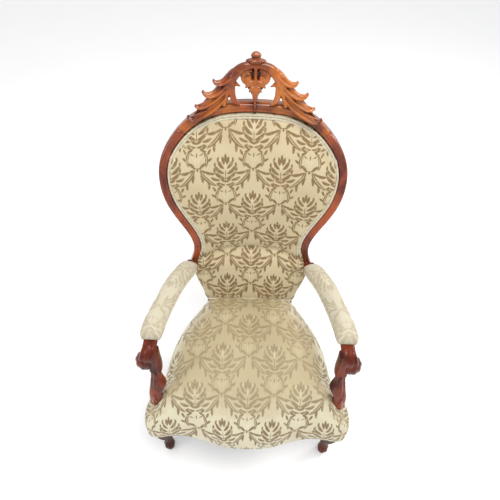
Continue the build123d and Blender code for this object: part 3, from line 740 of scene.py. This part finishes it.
# ---------------------------------------------------------------- hoop, posts and rear legs
# The hoop's moulding: (inset from the outer edge, how far forward of the frame's front).
HOOP_SECTION = [
    (0.5, -26), (0, -8), (1.6, -2.2), (5, 0.3), (9, 0.6), (12.5, -0.6), (14.2, -2.4), (15.6, -1.6),
    (18.5, -1.2), (21.5, -2.2), (24, -5), (24, -24), (21, -28), (4, -28),
]


def hoop_sections(first, last, side=1):
    """The middle line and the rings of the moulded section along part of a half hoop."""
    rows = [flipped(side)(hoop_half(inset, forward, first, last))
            for inset, forward in HOOP_SECTION]
    sections = [list(ring) for ring in zip(*rows)]
    return [ring.mean(axis=0) for ring in np.array(sections)], sections


SHOULDER = int(round(0.31 * (HALF_COUNT - 1)))
right_line, right_sections = hoop_sections(0, SHOULDER + 1)
left_line, left_sections = hoop_sections(0, SHOULDER + 1, -1)
crest_moulding = swept(
    "crest_rail_moulding", left_line[:0:-1] + right_line, left_sections[:0:-1] + right_sections,
    MAHOGANY_CREST,
)
tidy(crest_moulding)
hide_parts("crest_rail")

# The posts that carry the hoop on down to the seat, (x, z) on the right side.
POST = [(157, 553), (155, 530), (150, 490), (142, 440), (137, 388), (136, 340), (136, 284)]


def square_bar(line, widths, depths, corner):
    """Rings of a rounded rectangle along an upright line."""
    sections = []
    for p, w, d in zip(line, widths, depths):
        ring = []
        for sx, sy, start in ((1, 1, 0), (-1, 1, 90), (-1, -1, 180), (1, -1, 270)):
            for step_angle in (0, 30, 60, 90):
                a = math.radians(start + step_angle)
                ring.append((p[0] + sx * (w / 2 - corner) + corner * math.cos(a),
                             p[1] + sy * (d / 2 - corner) + corner * math.sin(a), p[2]))
        sections.append(np.array(ring))
    return sections


for side_name, side in SIDES:
    line, sections = hoop_sections(SHOULDER, None, side)
    stile = swept("stile_" + side_name, line, sections, MAHOGANY)
    tidy(stile)
    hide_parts("back_stile_" + side_name)

    post = smooth_line(POST, 30)
    drop = np.linspace(0, 1, 26)[1:]
    leg = np.stack([136 + 10 * drop, 132 + 144 * drop ** 1.2, 284 * (1 - drop)], axis=1)
    set_back = 9 * np.clip((post[:, 1] - 330) / 90, 0, 1)
    upper_y = frame_y(post[:, 0], post[:, 1]) + WOOD_DEPTH / 2 + set_back
    upper = np.stack([post[:, 0], upper_y, post[:, 1]], axis=1)
    whole = np.vstack([upper, leg])
    whole[:, 0] *= side
    taper = np.concatenate([np.full(30, 26.0), np.linspace(30, 28, 25)])
    rear_leg = swept(
        "rear_leg_" + side_name, whole,
        square_bar(whole, taper, np.where(taper < WOOD_DEPTH - 1, WOOD_DEPTH, taper), 5),
        MAHOGANY,
    )
    tidy(rear_leg)
    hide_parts("back_stile_" + side_name)


# ---------------------------------------------------------------- arms
# The arm's middle line from the back to the front, and the centre its knuckle rolls about.
ARM_LINE = [
    (178, 132, 526), (192, 78, 536), (214, 22, 545), (234, -45, 552), (248, -110, 557),
    (255, -160, 560), (256, -202, 560),
]
arm_line = smooth_line(ARM_LINE, 60)
ROLL = np.array([256, -200, 534])


def ribbon(line, up, widths, heights, ripple=0.0, ribs=3, around=40):
    """A rounded bar along a line, with ribs along its upper face."""
    side, above, _ = ring_frames(line, up)
    widths, heights = (np.broadcast_to(size, len(line)) for size in (widths, heights))
    sections = []
    for i, p in enumerate(line):
        ring = []
        for a in np.linspace(0, 2 * math.pi, around, endpoint=False):
            c, s = math.cos(a), math.sin(a)
            across, height = squarish(c, 0.6), squarish(s, 0.6)
            rib = ripple * math.cos(across * math.pi * ribs) * max(0.0, height)
            lift = height * heights[i] / 2 + rib
            ring.append(p + side[i] * across * widths[i] / 2 + above[i] * lift)
        sections.append(np.array(ring))
    return sweep_form(sections)


def knuckle_forms():
    """The arm's wood: its rolled leaf at the front, the neck under it and the bar behind it."""
    forms = []
    # The main roll, grooved like a folded leaf, opening outwards as it turns down.
    count = 40
    share = np.linspace(0, 1, count)
    turn = np.radians(np.linspace(-10, 190, count))
    outward = np.interp(share, [0, 0.35, 0.7, 1], [0, 6, 13, 12])
    widths = np.interp(share, [0, 0.3, 0.65, 1], [36, 40, 44, 36])
    reach = np.interp(share, [0, 0.12, 0.4, 0.7, 1], [35.5, 35.0, 32, 30, 24])
    sections = []
    for i in range(count):
        ring = []
        for k in range(44):
            a = 2 * math.pi * k / 44
            across = squarish(math.cos(a), 0.6)
            groove = 1.5 * math.cos(across * 2.5 * math.pi) if math.sin(a) > 0 else 0
            lift = squarish(math.sin(a), 0.7)
            radius = reach[i] - 12 + 11.5 * lift - 5 * across ** 4 * (lift > 0) + groove
            ring.append((
                ROLL[0] + outward[i] + across * widths[i] / 2,
                ROLL[1] - radius * math.sin(turn[i]), ROLL[2] + radius * math.cos(turn[i]),
            ))
        sections.append(np.array(ring))
    forms.append(sweep_form(sections))
    # The folded leaf's swollen outer end, fluted from top to bottom.
    vertices, faces = ball((0, 0, 0), (1, 1, 1), 24, 60)
    placed = []
    for x, y, z in vertices:
        flute = 1 + 0.035 * math.cos(9 * math.atan2(y, x) + 2.2 * z) * (1 - z ** 4)
        placed.append((272 + 25 * x * flute, -213 + 24 * y * flute, 513 + 32 * z))
    forms.append((placed, faces))
    # The neck under the roll.
    neck = np.array([(250, -205, 554), (249, -210, 520), (248, -215, 486), (249, -218, 474)])
    forms.append(ribbon(smooth_line(neck, 14), (0, -1, 0), 34, 32, 0.6, 3, 28))
    # The wood that carries the arm's pad.
    forms.append(ribbon(arm_line[3:], (0, 0, 1), 36, 19))
    return forms


# The arm support from the top down: (height, middle x, middle y, width, depth).
SUPPORT = [
    (486, 248, -216, 32, 30), (470, 248.5, -219, 30, 29), (452, 250, -222, 31, 31),
    (436, 250, -226, 39, 34), (418, 249, -230, 50, 35), (402, 254, -234, 46, 35),
    (378, 260, -238, 39, 36), (355, 262, -240, 38, 36), (335, 263, -240, 42, 37),
    (312, 263, -239, 40, 34), (292, 264, -237, 32, 30), (284, 264, -236, 30, 28),
]


def read(table, column, at):
    """A column of a table whose rows start with their height, top row first, read at a height."""
    upwards = table[::-1]
    return np.interp(at, [row[0] for row in upwards], [row[column] for row in upwards])


def support_forms():
    """The C-scrolled arm support with a leaf down its front and a lobe on its inner side."""
    line = smooth_line([(x, y, z) for z, x, y, _, _ in SUPPORT], 46)
    widths = read(SUPPORT, 3, line[:, 2]) - 6
    depths = read(SUPPORT, 4, line[:, 2]) - 5
    forms = [ribbon(line, (0, -1, 0), widths, depths, 0.7)]
    # A bead down each front edge.
    for shift in (-0.36, 0.36):
        edge = line.copy()
        edge[:, 0] += shift * (widths + 4)
        edge[:, 1] -= depths * 0.30
        forms.append(ribbon(edge, (0, -1, 0), 7, 8, 0.0, 1, 14))
    # Inner lobe: a small curl against the seat.
    vertices, faces = ball((0, 0, 0), (1, 1, 1), 12, 18)
    forms.append(([(235 + 9 * v[0], -231 + 13 * v[1], 419 + 14 * v[2]) for v in vertices], faces))
    # Leaf down the front.
    for places, widths_of in (
        ([(250, 476, 0), (250, 452, 0), (252, 428, 0), (257, 398, 0)], [6, 15, 18, 2]),
        ([(262, 384, 0), (263, 360, 0), (264, 336, 0), (265, 306, 0)], [4, 14, 17, 2]),
    ):
        vertices, faces = blade(places, widths_of, 5, 7, vein=0.5)
        placed = []
        for x, z, rise in vertices:
            front = read(SUPPORT, 2, z) - read(SUPPORT, 4, z) / 2
            placed.append((x, front + 2 - rise, z))
        forms.append((placed, faces))
    return forms


# ---------------------------------------------------------------- front legs
# A front leg from the top down: (height, width, how far its middle stands out), and its place.
LEG_X, LEG_Y = 262, -270
LEG = [
    (228, 44, 0), (205, 46, 3), (185, 46, 5), (160, 42, 5), (130, 36, 3), (98, 30, 0), (72, 26, -2),
    (48, 28, -1), (30, 34, 0), (15, 33, 0), (6, 30, 0), (0, 28, 0),
]


def leg_forms():
    """A short cabriole leg: carved knee, slim ankle and a turned knob for a foot."""
    levels = np.linspace(SEAT_BOTTOM, 0, 96)
    around = 64
    sections = []
    for z, width, out in zip(levels, read(LEG, 1, levels), read(LEG, 2, levels)):
        knee = math.exp(-((z - 178) / 38) ** 2)
        toe = math.exp(-((z - 20) / 22) ** 2)
        square = 0.55 + 0.45 * min(1, max(0, (120 - z) / 60)) if z < 200 else 0.5
        ring = []
        for k in range(around):
            a = 2 * math.pi * k / around
            c, s = math.cos(a), math.sin(a)
            reach = width / 2 * (abs(c) ** (2 / square) + abs(s) ** (2 / square)) ** (-square / 2)
            carved = 1.5 * knee * math.cos(8 * a + 0.06 * (z - 178)) + 1.2 * toe * math.cos(7 * a)
            carved += 0.8 * math.exp(-((z - 46) / 4) ** 2) + 1.0 * math.exp(-((z - 222) / 3) ** 2)
            reach += carved
            ring.append((LEG_X + out + reach * c, LEG_Y - out + reach * s, z))
        sections.append(np.array(ring))
    forms = [sweep_form(sections)]
    # The square block above the knee, between the rails.
    corners = ((1, 1), (-1, 1), (-1, -1), (1, -1))
    forms.append(sweep_form([
        [(LEG_X + sx * 22, LEG_Y + sy * 22, z) for sx, sy in corners] for z in (226, 284)
    ]))
    # Leaves that fall over the knee's front and outer faces.
    for turn in (-135, -90, -45, 0, 45):
        a = math.radians(turn)
        for offset, low, size in ((0, 118, 15), (-0.33, 146, 11), (0.33, 146, 11)):
            line = []
            for share in np.linspace(0, 1, 7):
                z = 214 - share * (214 - low)
                out = read(LEG, 2, z)
                t = a + offset * (0.5 + share)
                reach = read(LEG, 1, z) / 2 + 0.8 + 1.8 * math.sin(math.pi * share)
                leaf_x = LEG_X + out + reach * math.cos(t)
                line.append((leaf_x, LEG_Y - out + reach * math.sin(t), z))
            across = np.interp(np.linspace(0, 1, 20), [0, 0.4, 0.8, 1], [5, size, size * 0.7, 2])
            outwards = (math.cos(a), math.sin(a), 0)
            forms.append(ribbon(smooth_line(line, 20), outwards, across, 3.2, 0.8, 2, 20))
    return forms


for side_name, side in SIDES:
    arm = carving(
        "arm_carving_" + side_name, knuckle_forms(), flipped(side), MAHOGANY_ARM,
        0.0014)
    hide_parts("arm_rail_" + side_name)
    support = carving(
        "arm_support_carving_" + side_name, support_forms(), flipped(side), MAHOGANY_ARM,
        0.0013)
    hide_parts("arm_support_" + side_name)
    leg = carving(
        "leg_carving_" + side_name, leg_forms(), flipped(side), MAHOGANY_LEG_SHADED, 0.0013, 1)
    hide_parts("front_leg_" + side_name)


# ---------------------------------------------------------------- upholstery
def upholster(piece, pinned, pressure, cap, frames=16):
    """Lets the cloth settle under the stuffing's push, held where it is tacked.

    No vertex ends up further than cap millimetres from where it was laid."""
    mesh = piece.data
    laid = np.empty(len(mesh.vertices) * 3)
    mesh.vertices.foreach_get("co", laid)
    group = piece.vertex_groups.new(name="tacked")
    for index, weight in pinned.items():
        group.add([int(index)], weight, "REPLACE")
    cloth = piece.modifiers.new("cloth", "CLOTH")
    settings = cloth.settings
    settings.quality = 6
    settings.mass = 0.3
    settings.tension_stiffness = 14
    settings.compression_stiffness = 8
    settings.shear_stiffness = 4
    settings.bending_stiffness = 0.6
    settings.effector_weights.gravity = 0
    settings.use_pressure = True
    settings.uniform_pressure_force = pressure
    settings.vertex_group_mass = "tacked"
    settings.shrink_min = -0.02
    scene = bpy.context.scene
    cloth.point_cache.frame_start = 1
    cloth.point_cache.frame_end = frames
    for number in range(1, frames + 1):
        scene.frame_set(number)
    apply_modifiers(piece)
    scene.frame_set(1)
    mesh = piece.data
    settled = np.empty(len(mesh.vertices) * 3)
    mesh.vertices.foreach_get("co", settled)
    move = (settled - laid).reshape(-1, 3)
    length = np.linalg.norm(move, axis=1)
    limit = cap * MM
    share = limit * np.tanh(length / limit) / np.maximum(length, 1e-9)
    mesh.vertices.foreach_set("co", (laid.reshape(-1, 3) + move * share[:, None]).ravel())
    finer = piece.modifiers.new("finer", "SUBSURF")
    finer.levels = 1
    finer.render_levels = 1
    apply_modifiers(piece)


# The seat's outline from the front's middle round the right side to the back's middle: (x, how
# much further out the ear over the leg stands, y).
SEAT_PLAN = [
    (0, 0, -346), (70, 0, -341), (150, 0, -319), (225, 0, -314), (262, 30, -309), (256, 44, -262),
    (250, 10, -160), (228, 0, -40), (178, 0, 62), (146, 0, 103), (0, 0, 108),
]


def closing(z, start, power):
    """How far the seat's outline has closed in at height z: 1 up to start, 0 at the crown."""
    rise = max(0.0, (z - start) / (SEAT_CROWN + 1 - start))
    return max(0.0, 1 - rise ** power) ** (1 / power)


def seat_ring(z, count):
    """The seat's outline at height z, as evenly spread places."""
    ear = 1 - min(1, max(0, (z - 280) / 56))
    ear = ear * ear * (3 - 2 * ear)
    half = []
    for x, ear_x, y in SEAT_PLAN:
        reach = y - CROWN_Y
        reach *= closing(z, SEAT_BOTTOM, 1.8) if reach < 0 else closing(z, 330, 2.5)
        half.append(((x + ear_x * ear) * closing(z, 285, 2.4), CROWN_Y + reach))
    whole = half + [(-x, y) for x, y in half[-2:0:-1]]
    ring = smooth_line(whole, count, closed=True)
    return np.stack([ring[:, 0], ring[:, 1], np.full(count, float(z))], axis=1)


def seat_rings(count=168):
    """Rings from the tacked edge under the rail up to near the crown."""
    edge = seat_ring(SEAT_BOTTOM, count)
    centre = np.array([0, CROWN_Y, 0])
    rings = []
    for inset, z in ((14, 232.5), (7, 229.0), (2.5, 228.2)):
        scale = 1 - inset / 290
        ring = (edge - centre) * np.array([scale, scale, 1]) + centre
        ring[:, 2] = z
        rings.append(ring)
    steep = [
        229.5, 233, 238, 244, 251, 259, 268, 277, 286, 295, 304, 313, 322, 331, 340, 349,
        357, 365, 372, 379, 385, 390.5, 395.5, 400, 404, 407.4, 410.2, 412.5, 414.4, 415.8,
        416.8, 417.5,
    ]
    rings += [seat_ring(z, count) for z in steep]
    last = rings[-1]
    for scale in (0.72, 0.48, 0.27, 0.1):
        ring = (last - centre) * np.array([scale, scale, 0]) + centre
        ring[:, 2] = 418.3 - 0.8 * scale ** 2
        rings.append(ring)
    return rings


def cloth_lengths(rings, normals):
    """Cloth coordinates in metres: the plan, with the cloth that hangs past it laid outwards."""
    rings = np.array(rings)
    order = rings[::-1]
    steps = np.diff(order, axis=0)
    lengths = np.linalg.norm(steps, axis=2)
    level = np.linalg.norm(steps[:, :, :2], axis=2)
    extra = np.cumsum(lengths - level, axis=0)
    extra = np.vstack([np.zeros((1, rings.shape[1])), extra])[::-1]
    flat = rings[:, :, :2] + normals[None, :, :] * extra[:, :, None]
    return flat * MM


def outward_normals(ring):
    """Unit directions square to a ring in plan, evened out along it."""
    ahead = np.roll(ring[:, :2], -4, axis=0) - np.roll(ring[:, :2], 4, axis=0)
    normal = np.stack([ahead[:, 1], -ahead[:, 0]], axis=1)
    normal /= np.linalg.norm(normal, axis=1)[:, None]
    middle = ring[:, :2].mean(axis=0)
    flip = np.sign(((ring[:, :2] - middle) * normal).sum(axis=1))
    normal *= flip[:, None]
    for _ in range(6):
        normal = (np.roll(normal, 1, axis=0) + normal * 2 + np.roll(normal, -1, axis=0)) / 4
    return normal / np.linalg.norm(normal, axis=1)[:, None]


# The seat is tacked along its lowest rows, and nearly so where the inside back sits on it.
TACKED_ROWS = 3
UNDER_BACK_Y = 84
seat_layers = seat_rings()
around = len(seat_layers[0])
seat_uv = cloth_lengths(seat_layers, outward_normals(seat_ring(240, around)))
seat_vertices = [p for ring in seat_layers for p in ring]
seat_vertices.append(np.array([0, CROWN_Y, 418.4]))
seat_faces = grid_faces(len(seat_layers), around, close_columns=True)
top = len(seat_vertices) - 1
start = (len(seat_layers) - 1) * around
seat_faces += [(start + j, start + (j + 1) % around, top) for j in range(around)]
uv_list = [tuple(p) for p in seat_uv.reshape(-1, 2)] + [(0.0, CROWN_Y * MM)]
seat = make_object("seat_upholstery", seat_vertices, seat_faces, SEAT_DAMASK, uv_list)
pins = {}
for i, ring in enumerate(seat_layers):
    for j, (_, y, _) in enumerate(ring):
        if i < TACKED_ROWS:
            pins[i * around + j] = 1.0
        elif y > UNDER_BACK_Y:
            pins[i * around + j] = 0.9
upholster(seat, pins, 3.0, 5.0)
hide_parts("seat_cover")
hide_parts("seat_stuffing")


# The inside back's outline follows the hoop's inner edge, then goes round the posts to the seat.
hoop_inside = half_hoop + half_normal * 25.5
LEFT = np.array([-1, 1])


def back_side(count):
    """The outline's right side, from the seat up to the hoop's shoulder."""
    upper = hoop_inside[SHOULDER:int(0.80 * (HALF_COUNT - 1)):4]
    lower = [(157, 566), (164, 540), (176, 515), (181, 492), (177, 462), (170, 430), (161, 396),
             (154, 352)]
    return smooth_line(np.vstack([upper, lower])[::-1], count)


def back_top(count):
    """The outline's top, from the left shoulder to the right one."""
    right = hoop_inside[:SHOULDER + 1]
    return smooth_line(np.vstack([right[:0:-1] * LEFT, right]), count)


def coons(rows=70, columns=49):
    """A grid over the back's outline; returns (rows, columns, 2) places of x and z."""
    right = back_side(rows)
    left = right * LEFT
    crown = back_top(columns)
    crown[0], crown[-1] = left[-1], right[-1]
    base = np.linspace(left[0], right[0], columns)
    v = np.linspace(0, 1, rows)[:, None, None]
    u = np.linspace(0, 1, columns)[None, :, None]
    grid = (1 - v) * base[None] + v * crown[None] + (1 - u) * left[:, None] + u * right[:, None]
    corners_below = (1 - u) * base[0] + u * base[-1]
    corners_above = (1 - u) * crown[0] + u * crown[-1]
    return grid - (1 - v) * corners_below - v * corners_above


# The inside back's profile down its middle: (height, y).
MIDDLE = [
    (340, 92), (352, 93), (372, 95), (390, 101), (425, 113), (470, 128), (515, 147), (545, 161),
    (565, 162), (600, 163), (660, 165), (740, 172), (820, 190), (900, 215), (975, 250),
]


def rim_distance(grid):
    """How far each place lies from the outline's sides and top, in millimetres."""
    rim = np.vstack([grid[:, 0], grid[-1], grid[:, -1]])
    flat = grid.reshape(-1, 2)
    gap = np.sqrt(((flat[:, None] - rim[None]) ** 2).sum(axis=2)).min(axis=1)
    return gap.reshape(grid.shape[:2])


back_grid = coons()
rim = rim_distance(back_grid)
middle_line = smooth_line(MIDDLE, 400)
x, z = back_grid[..., 0], back_grid[..., 1]
middle_depth = np.interp(z, middle_line[:, 0], middle_line[:, 1])
swell = 1 - (1 - np.clip(rim / 105, 0, 1)) ** 2.2
low = np.clip((560 - z) / 60, 0, 1)
low = low * low * (3 - 2 * low)
wrap = low * 5 * (1 - np.exp(-rim / 6))
depth = frame_y(x, z) + (middle_depth - frame_y(0, z)) * swell
depth += 3.0 * (1 - low) - wrap
depth -= (1 - low) * 4.0 * (1 - np.exp(-rim / 7)) * (1 - swell)
# The crease above the lumbar roll, a swelling over it and one under it.
crease_z = 548 - 12 * (x / 130) ** 2
depth += 13.0 * np.exp(-((z - crease_z) / 6.5) ** 2) * np.clip(1.15 - (np.abs(x) / 170) ** 4, 0, 1)
depth -= 5.0 * np.exp(-((z - crease_z - 20) / 14.0) ** 2)
depth -= 8.0 * np.exp(-((z - crease_z + 24) / 17.0) ** 2)
front_layer = np.stack([x, depth, z], axis=2)
rows, columns = x.shape
middle = columns // 2

# A lip round the sides and top runs back behind the welt, or round the post lower down.
lip = np.vstack([front_layer[:, 0], front_layer[-1, 1:-1], front_layer[::-1, -1]])
vertices = [tuple(p) for p in front_layer.reshape(-1, 3)]
faces = grid_faces(rows, columns)
numbers = np.arange(rows * columns).reshape(rows, columns)
rim_index = np.concatenate([numbers[:, 0], numbers[-1, 1:-1], numbers[::-1, -1]]).tolist()
lip_start = len(vertices)
for p in lip:
    vertices.append((p[0] * 1.003, p[1] + 9, p[2] + (1 if p[2] > 900 else 0)))
for k in range(len(rim_index) - 1):
    faces.append((rim_index[k], rim_index[k + 1], lip_start + k + 1, lip_start + k))
up = run_along(front_layer[:, middle]) + front_layer[0, middle, 2]
back_uv = [(x[i, j] * MM, (up[i] + (z[i, j] - z[i, middle])) * MM)
           for i in range(rows) for j in range(columns)]
back_uv += [back_uv[k] for k in rim_index]
back = make_object("back_upholstery", vertices, faces, BACK_DAMASK, back_uv)
face_outwards(back)
tacked = (rim < 4) | (np.arange(rows)[:, None] < TACKED_ROWS)
held = np.maximum(tacked, 0.9 * np.exp(-((z - crease_z) / 9) ** 2)).ravel()
pins = {k: float(weight) for k, weight in enumerate(held) if weight > 0.02}
pins.update((lip_start + k, 1.0) for k in range(len(lip)))
upholster(back, pins, 2.0, 4.0)
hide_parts("back_cover")
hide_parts("back_stuffing")

# How far behind the frame's front face the outside cloth is stretched.
OUTSIDE = 34.5


def seen_from_behind(places):
    """Cloth coordinates of the outside back, which run the other way across."""
    return [(-p[0] * MM, p[2] * MM) for p in places]


outside = np.stack([x, frame_y(x, z) + OUTSIDE, z], axis=2).reshape(-1, 3)
outside_back = make_object(
    "outside_back_cloth", outside, [face[::-1] for face in grid_faces(rows, columns)],
    BACK_DAMASK, seen_from_behind(outside))
thicken(outside_back)
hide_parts("outside_back_cover")

# Below the posts' wrapped edges the outside cloth carries on down over the back rail.
skirt_x, skirt_z = np.meshgrid(np.linspace(-121.5, 121.5, 33), np.linspace(362, 239, 22))
skirt_y = 128 + OUTSIDE - skirt_x ** 2 / (2 * BACK_RADIUS)
skirt_places = np.stack([skirt_x, skirt_y, skirt_z], axis=2).reshape(-1, 3)
skirt = make_object(
    "outside_back_skirt", skirt_places, grid_faces(*skirt_x.shape), BACK_DAMASK,
    seen_from_behind(skirt_places))
thicken(skirt, offset=1)


# ---------------------------------------------------------------- arm pads
def arm_pad(side_name, side, count=64, wide=31):
    """The stuffed pad on an arm, domed over the wood and closed at both ends."""
    share = np.linspace(0, 1, count)
    path = smooth_line(arm_line[5:57], count)
    across, above, _ = ring_frames(path, (0, 0, 1))
    closing_in = np.sqrt(np.clip(1 - np.clip((0.26 - share) / 0.26, 0, 1) ** 2, 0, 1))
    closing_in *= np.sqrt(np.clip(1 - np.clip((share - 0.93) / 0.07, 0, 1) ** 2, 0, 1))
    closing_in = np.maximum(closing_in, 0.06)
    places, uv = [], []
    for i, run in enumerate(run_along(path)):
        half = 29.0 * (0.62 + 0.38 * closing_in[i])
        high = 26 * closing_in[i]
        ring = []
        for k in range(wide):
            a = math.pi * (-0.16 + 1.32 * k / (wide - 1))
            c, s = math.cos(a), math.sin(a)
            flat = squarish(c, 0.85) * half
            tall = squarish(s, 0.8) * (high if s > 0 else 9)
            ring.append(path[i] + across[i] * flat + above[i] * (tall + 7))
        over = run_along(ring)
        uv += [((length - over[-1] / 2) * MM, run * MM) for length in over]
        places += ring
    # The dome, its two ends and its flat underside.
    faces = grid_faces(count, wide)
    faces += [tuple(range(wide)), tuple(range(count * wide - 1, (count - 1) * wide - 1, -1))]
    for first in range(0, (count - 1) * wide, wide):
        faces.append((first + wide - 1, first, first + wide, first + 2 * wide - 1))
    piece = make_object(
        "arm_pad_" + side_name, flipped(side)(places), faces, ARM_DAMASK, uv)
    face_outwards(piece)
    pins = {}
    for i in range(count):
        for k in (0, 1, wide - 2, wide - 1):
            pins[i * wide + k] = 1.0
    upholster(piece, pins, 2.5, 3.0)
    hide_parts("arm_cover_" + side_name)
    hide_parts("arm_stuffing_" + side_name)
    for edge, edge_name in ((-1, "inner"), (1, "outer")):
        seam = (path + across * edge * 27.0 + above * 3.0)[5:-5]
        cord = tube("arm_welt_" + edge_name + "_" + side_name, flipped(side)(seam), 2.3,
                    GIMP, 8, (0, 0, 1))


for side_name, side in SIDES:
    arm_pad(side_name, side)


# ---------------------------------------------------------------- welts and seams
# The double welt runs along the hoop's inner edge, down both sides to the arms.
WELT_END = int(0.93 * (HALF_COUNT - 1))
for number, inset, forward in ((1, 27.5, 1.0), (2, 33.6, 1.4)):
    line = smooth_line(hoop_full(inset, forward, WELT_END)[::2], 200)
    welt = tube("back_welt_" + str(number), line, 3.3, GIMP)
    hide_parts("back_piping")

seam_x = np.linspace(-140, 140, 60)
sag = (seam_x / 140) ** 2
seam = np.stack([seam_x, 88.5 - 8 * sag, 378 + 5 * sag], axis=1)
seat_seam = tube("seat_back_seam", seam, 2.6, GIMP, 8, (0, 0, 1))


# ---------------------------------------------------------------- finishes of the CAD parts
FINISH = {
    "beech": BEECH, "mahogany": MAHOGANY, "damask": BACK_DAMASK, "gimp": GIMP, "stuffing": STUFFING,
    "webbing": WEBBING, "dust_cloth": DUST_CLOTH, "spring_steel": SPRING, "screw_steel": SCREW,
}
slot_of = {entry["node"]: entry["material_slot"] for entry in frame["record"]["subparts"]}
for name, node in frame["nodes"].items():
    finish = CANVAS if name == "seat_hessian" else FINISH[slot_of[name]]
    node.data.materials.clear()
    node.data.materials.append(finish)


# ---------------------------------------------------------------- room, light and camera
bpy.ops.mesh.primitive_plane_add(size=14, location=(0, 0, -0.0006))
floor = bpy.context.object
floor.name = "floor"
floor_material, n, surface = new_material("floor_white")
surface.inputs["Emission Color"].default_value = (1, 1, 1, 1)
surface.inputs["Emission Strength"].default_value = 0.10
at = n.add("ShaderNodeTexCoord").outputs["Object"]
white = n.mix(n.noise(at, 3, 2), (0.90, 0.90, 0.90, 1), (0.93, 0.93, 0.93, 1))
n.put(surface.inputs["Base Color"], white)
surface.inputs["Roughness"].default_value = 0.6
floor.data.materials.append(floor_material)

world = bpy.data.worlds.new("studio")
world.use_nodes = True
sky = world.node_tree.nodes["Background"]
sky.inputs["Color"].default_value = (0.985, 0.99, 1.0, 1)
sky.inputs["Strength"].default_value = 0.82
bpy.context.scene.world = world


def soft_light(name, location, target, size, power, tint=(1, 0.985, 0.96)):
    """A round soft lamp aimed at a target."""
    light = bpy.data.lights.new(name, "AREA")
    light.shape = "DISK"
    light.size = size
    light.energy = power
    light.color = tint
    lamp = bpy.data.objects.new(name, light)
    lamp.location = location
    lamp.rotation_euler = (Vector(target) - Vector(location)).to_track_quat("-Z", "Y").to_euler()
    bpy.context.scene.collection.objects.link(lamp)


soft_light("overhead", (0.5, -0.6, 3.2), (0, 0.1, 0.5), 1.6, 48)
soft_light("left_fill", (-2.6, -1.4, 2.0), (0, 0.0, 0.5), 1.4, 18)
soft_light("right_edge", (2.4, 0.9, 2.2), (0, 0.1, 0.6), 0.9, 26)

bpy.context.scene.view_settings.view_transform = "Standard"

CAMERA_PLACE = (-3.5, -719, 1512)
CAMERA_PITCH = 42.2
CAMERA_ROLL = 1.4
CAMERA_LENS = 29.52
lens = bpy.data.cameras.new("camera")
lens.lens = CAMERA_LENS
lens.sensor_width = 36
camera = bpy.data.objects.new("camera", lens)
camera.location = tuple(place(CAMERA_PLACE))
pitch = Matrix.Rotation(math.radians(CAMERA_PITCH), 4, "X")
roll = Matrix.Rotation(math.radians(CAMERA_ROLL), 4, "Z")
camera.rotation_euler = (pitch @ roll).to_euler()
bpy.context.scene.collection.objects.link(camera)
bpy.context.scene.camera = camera
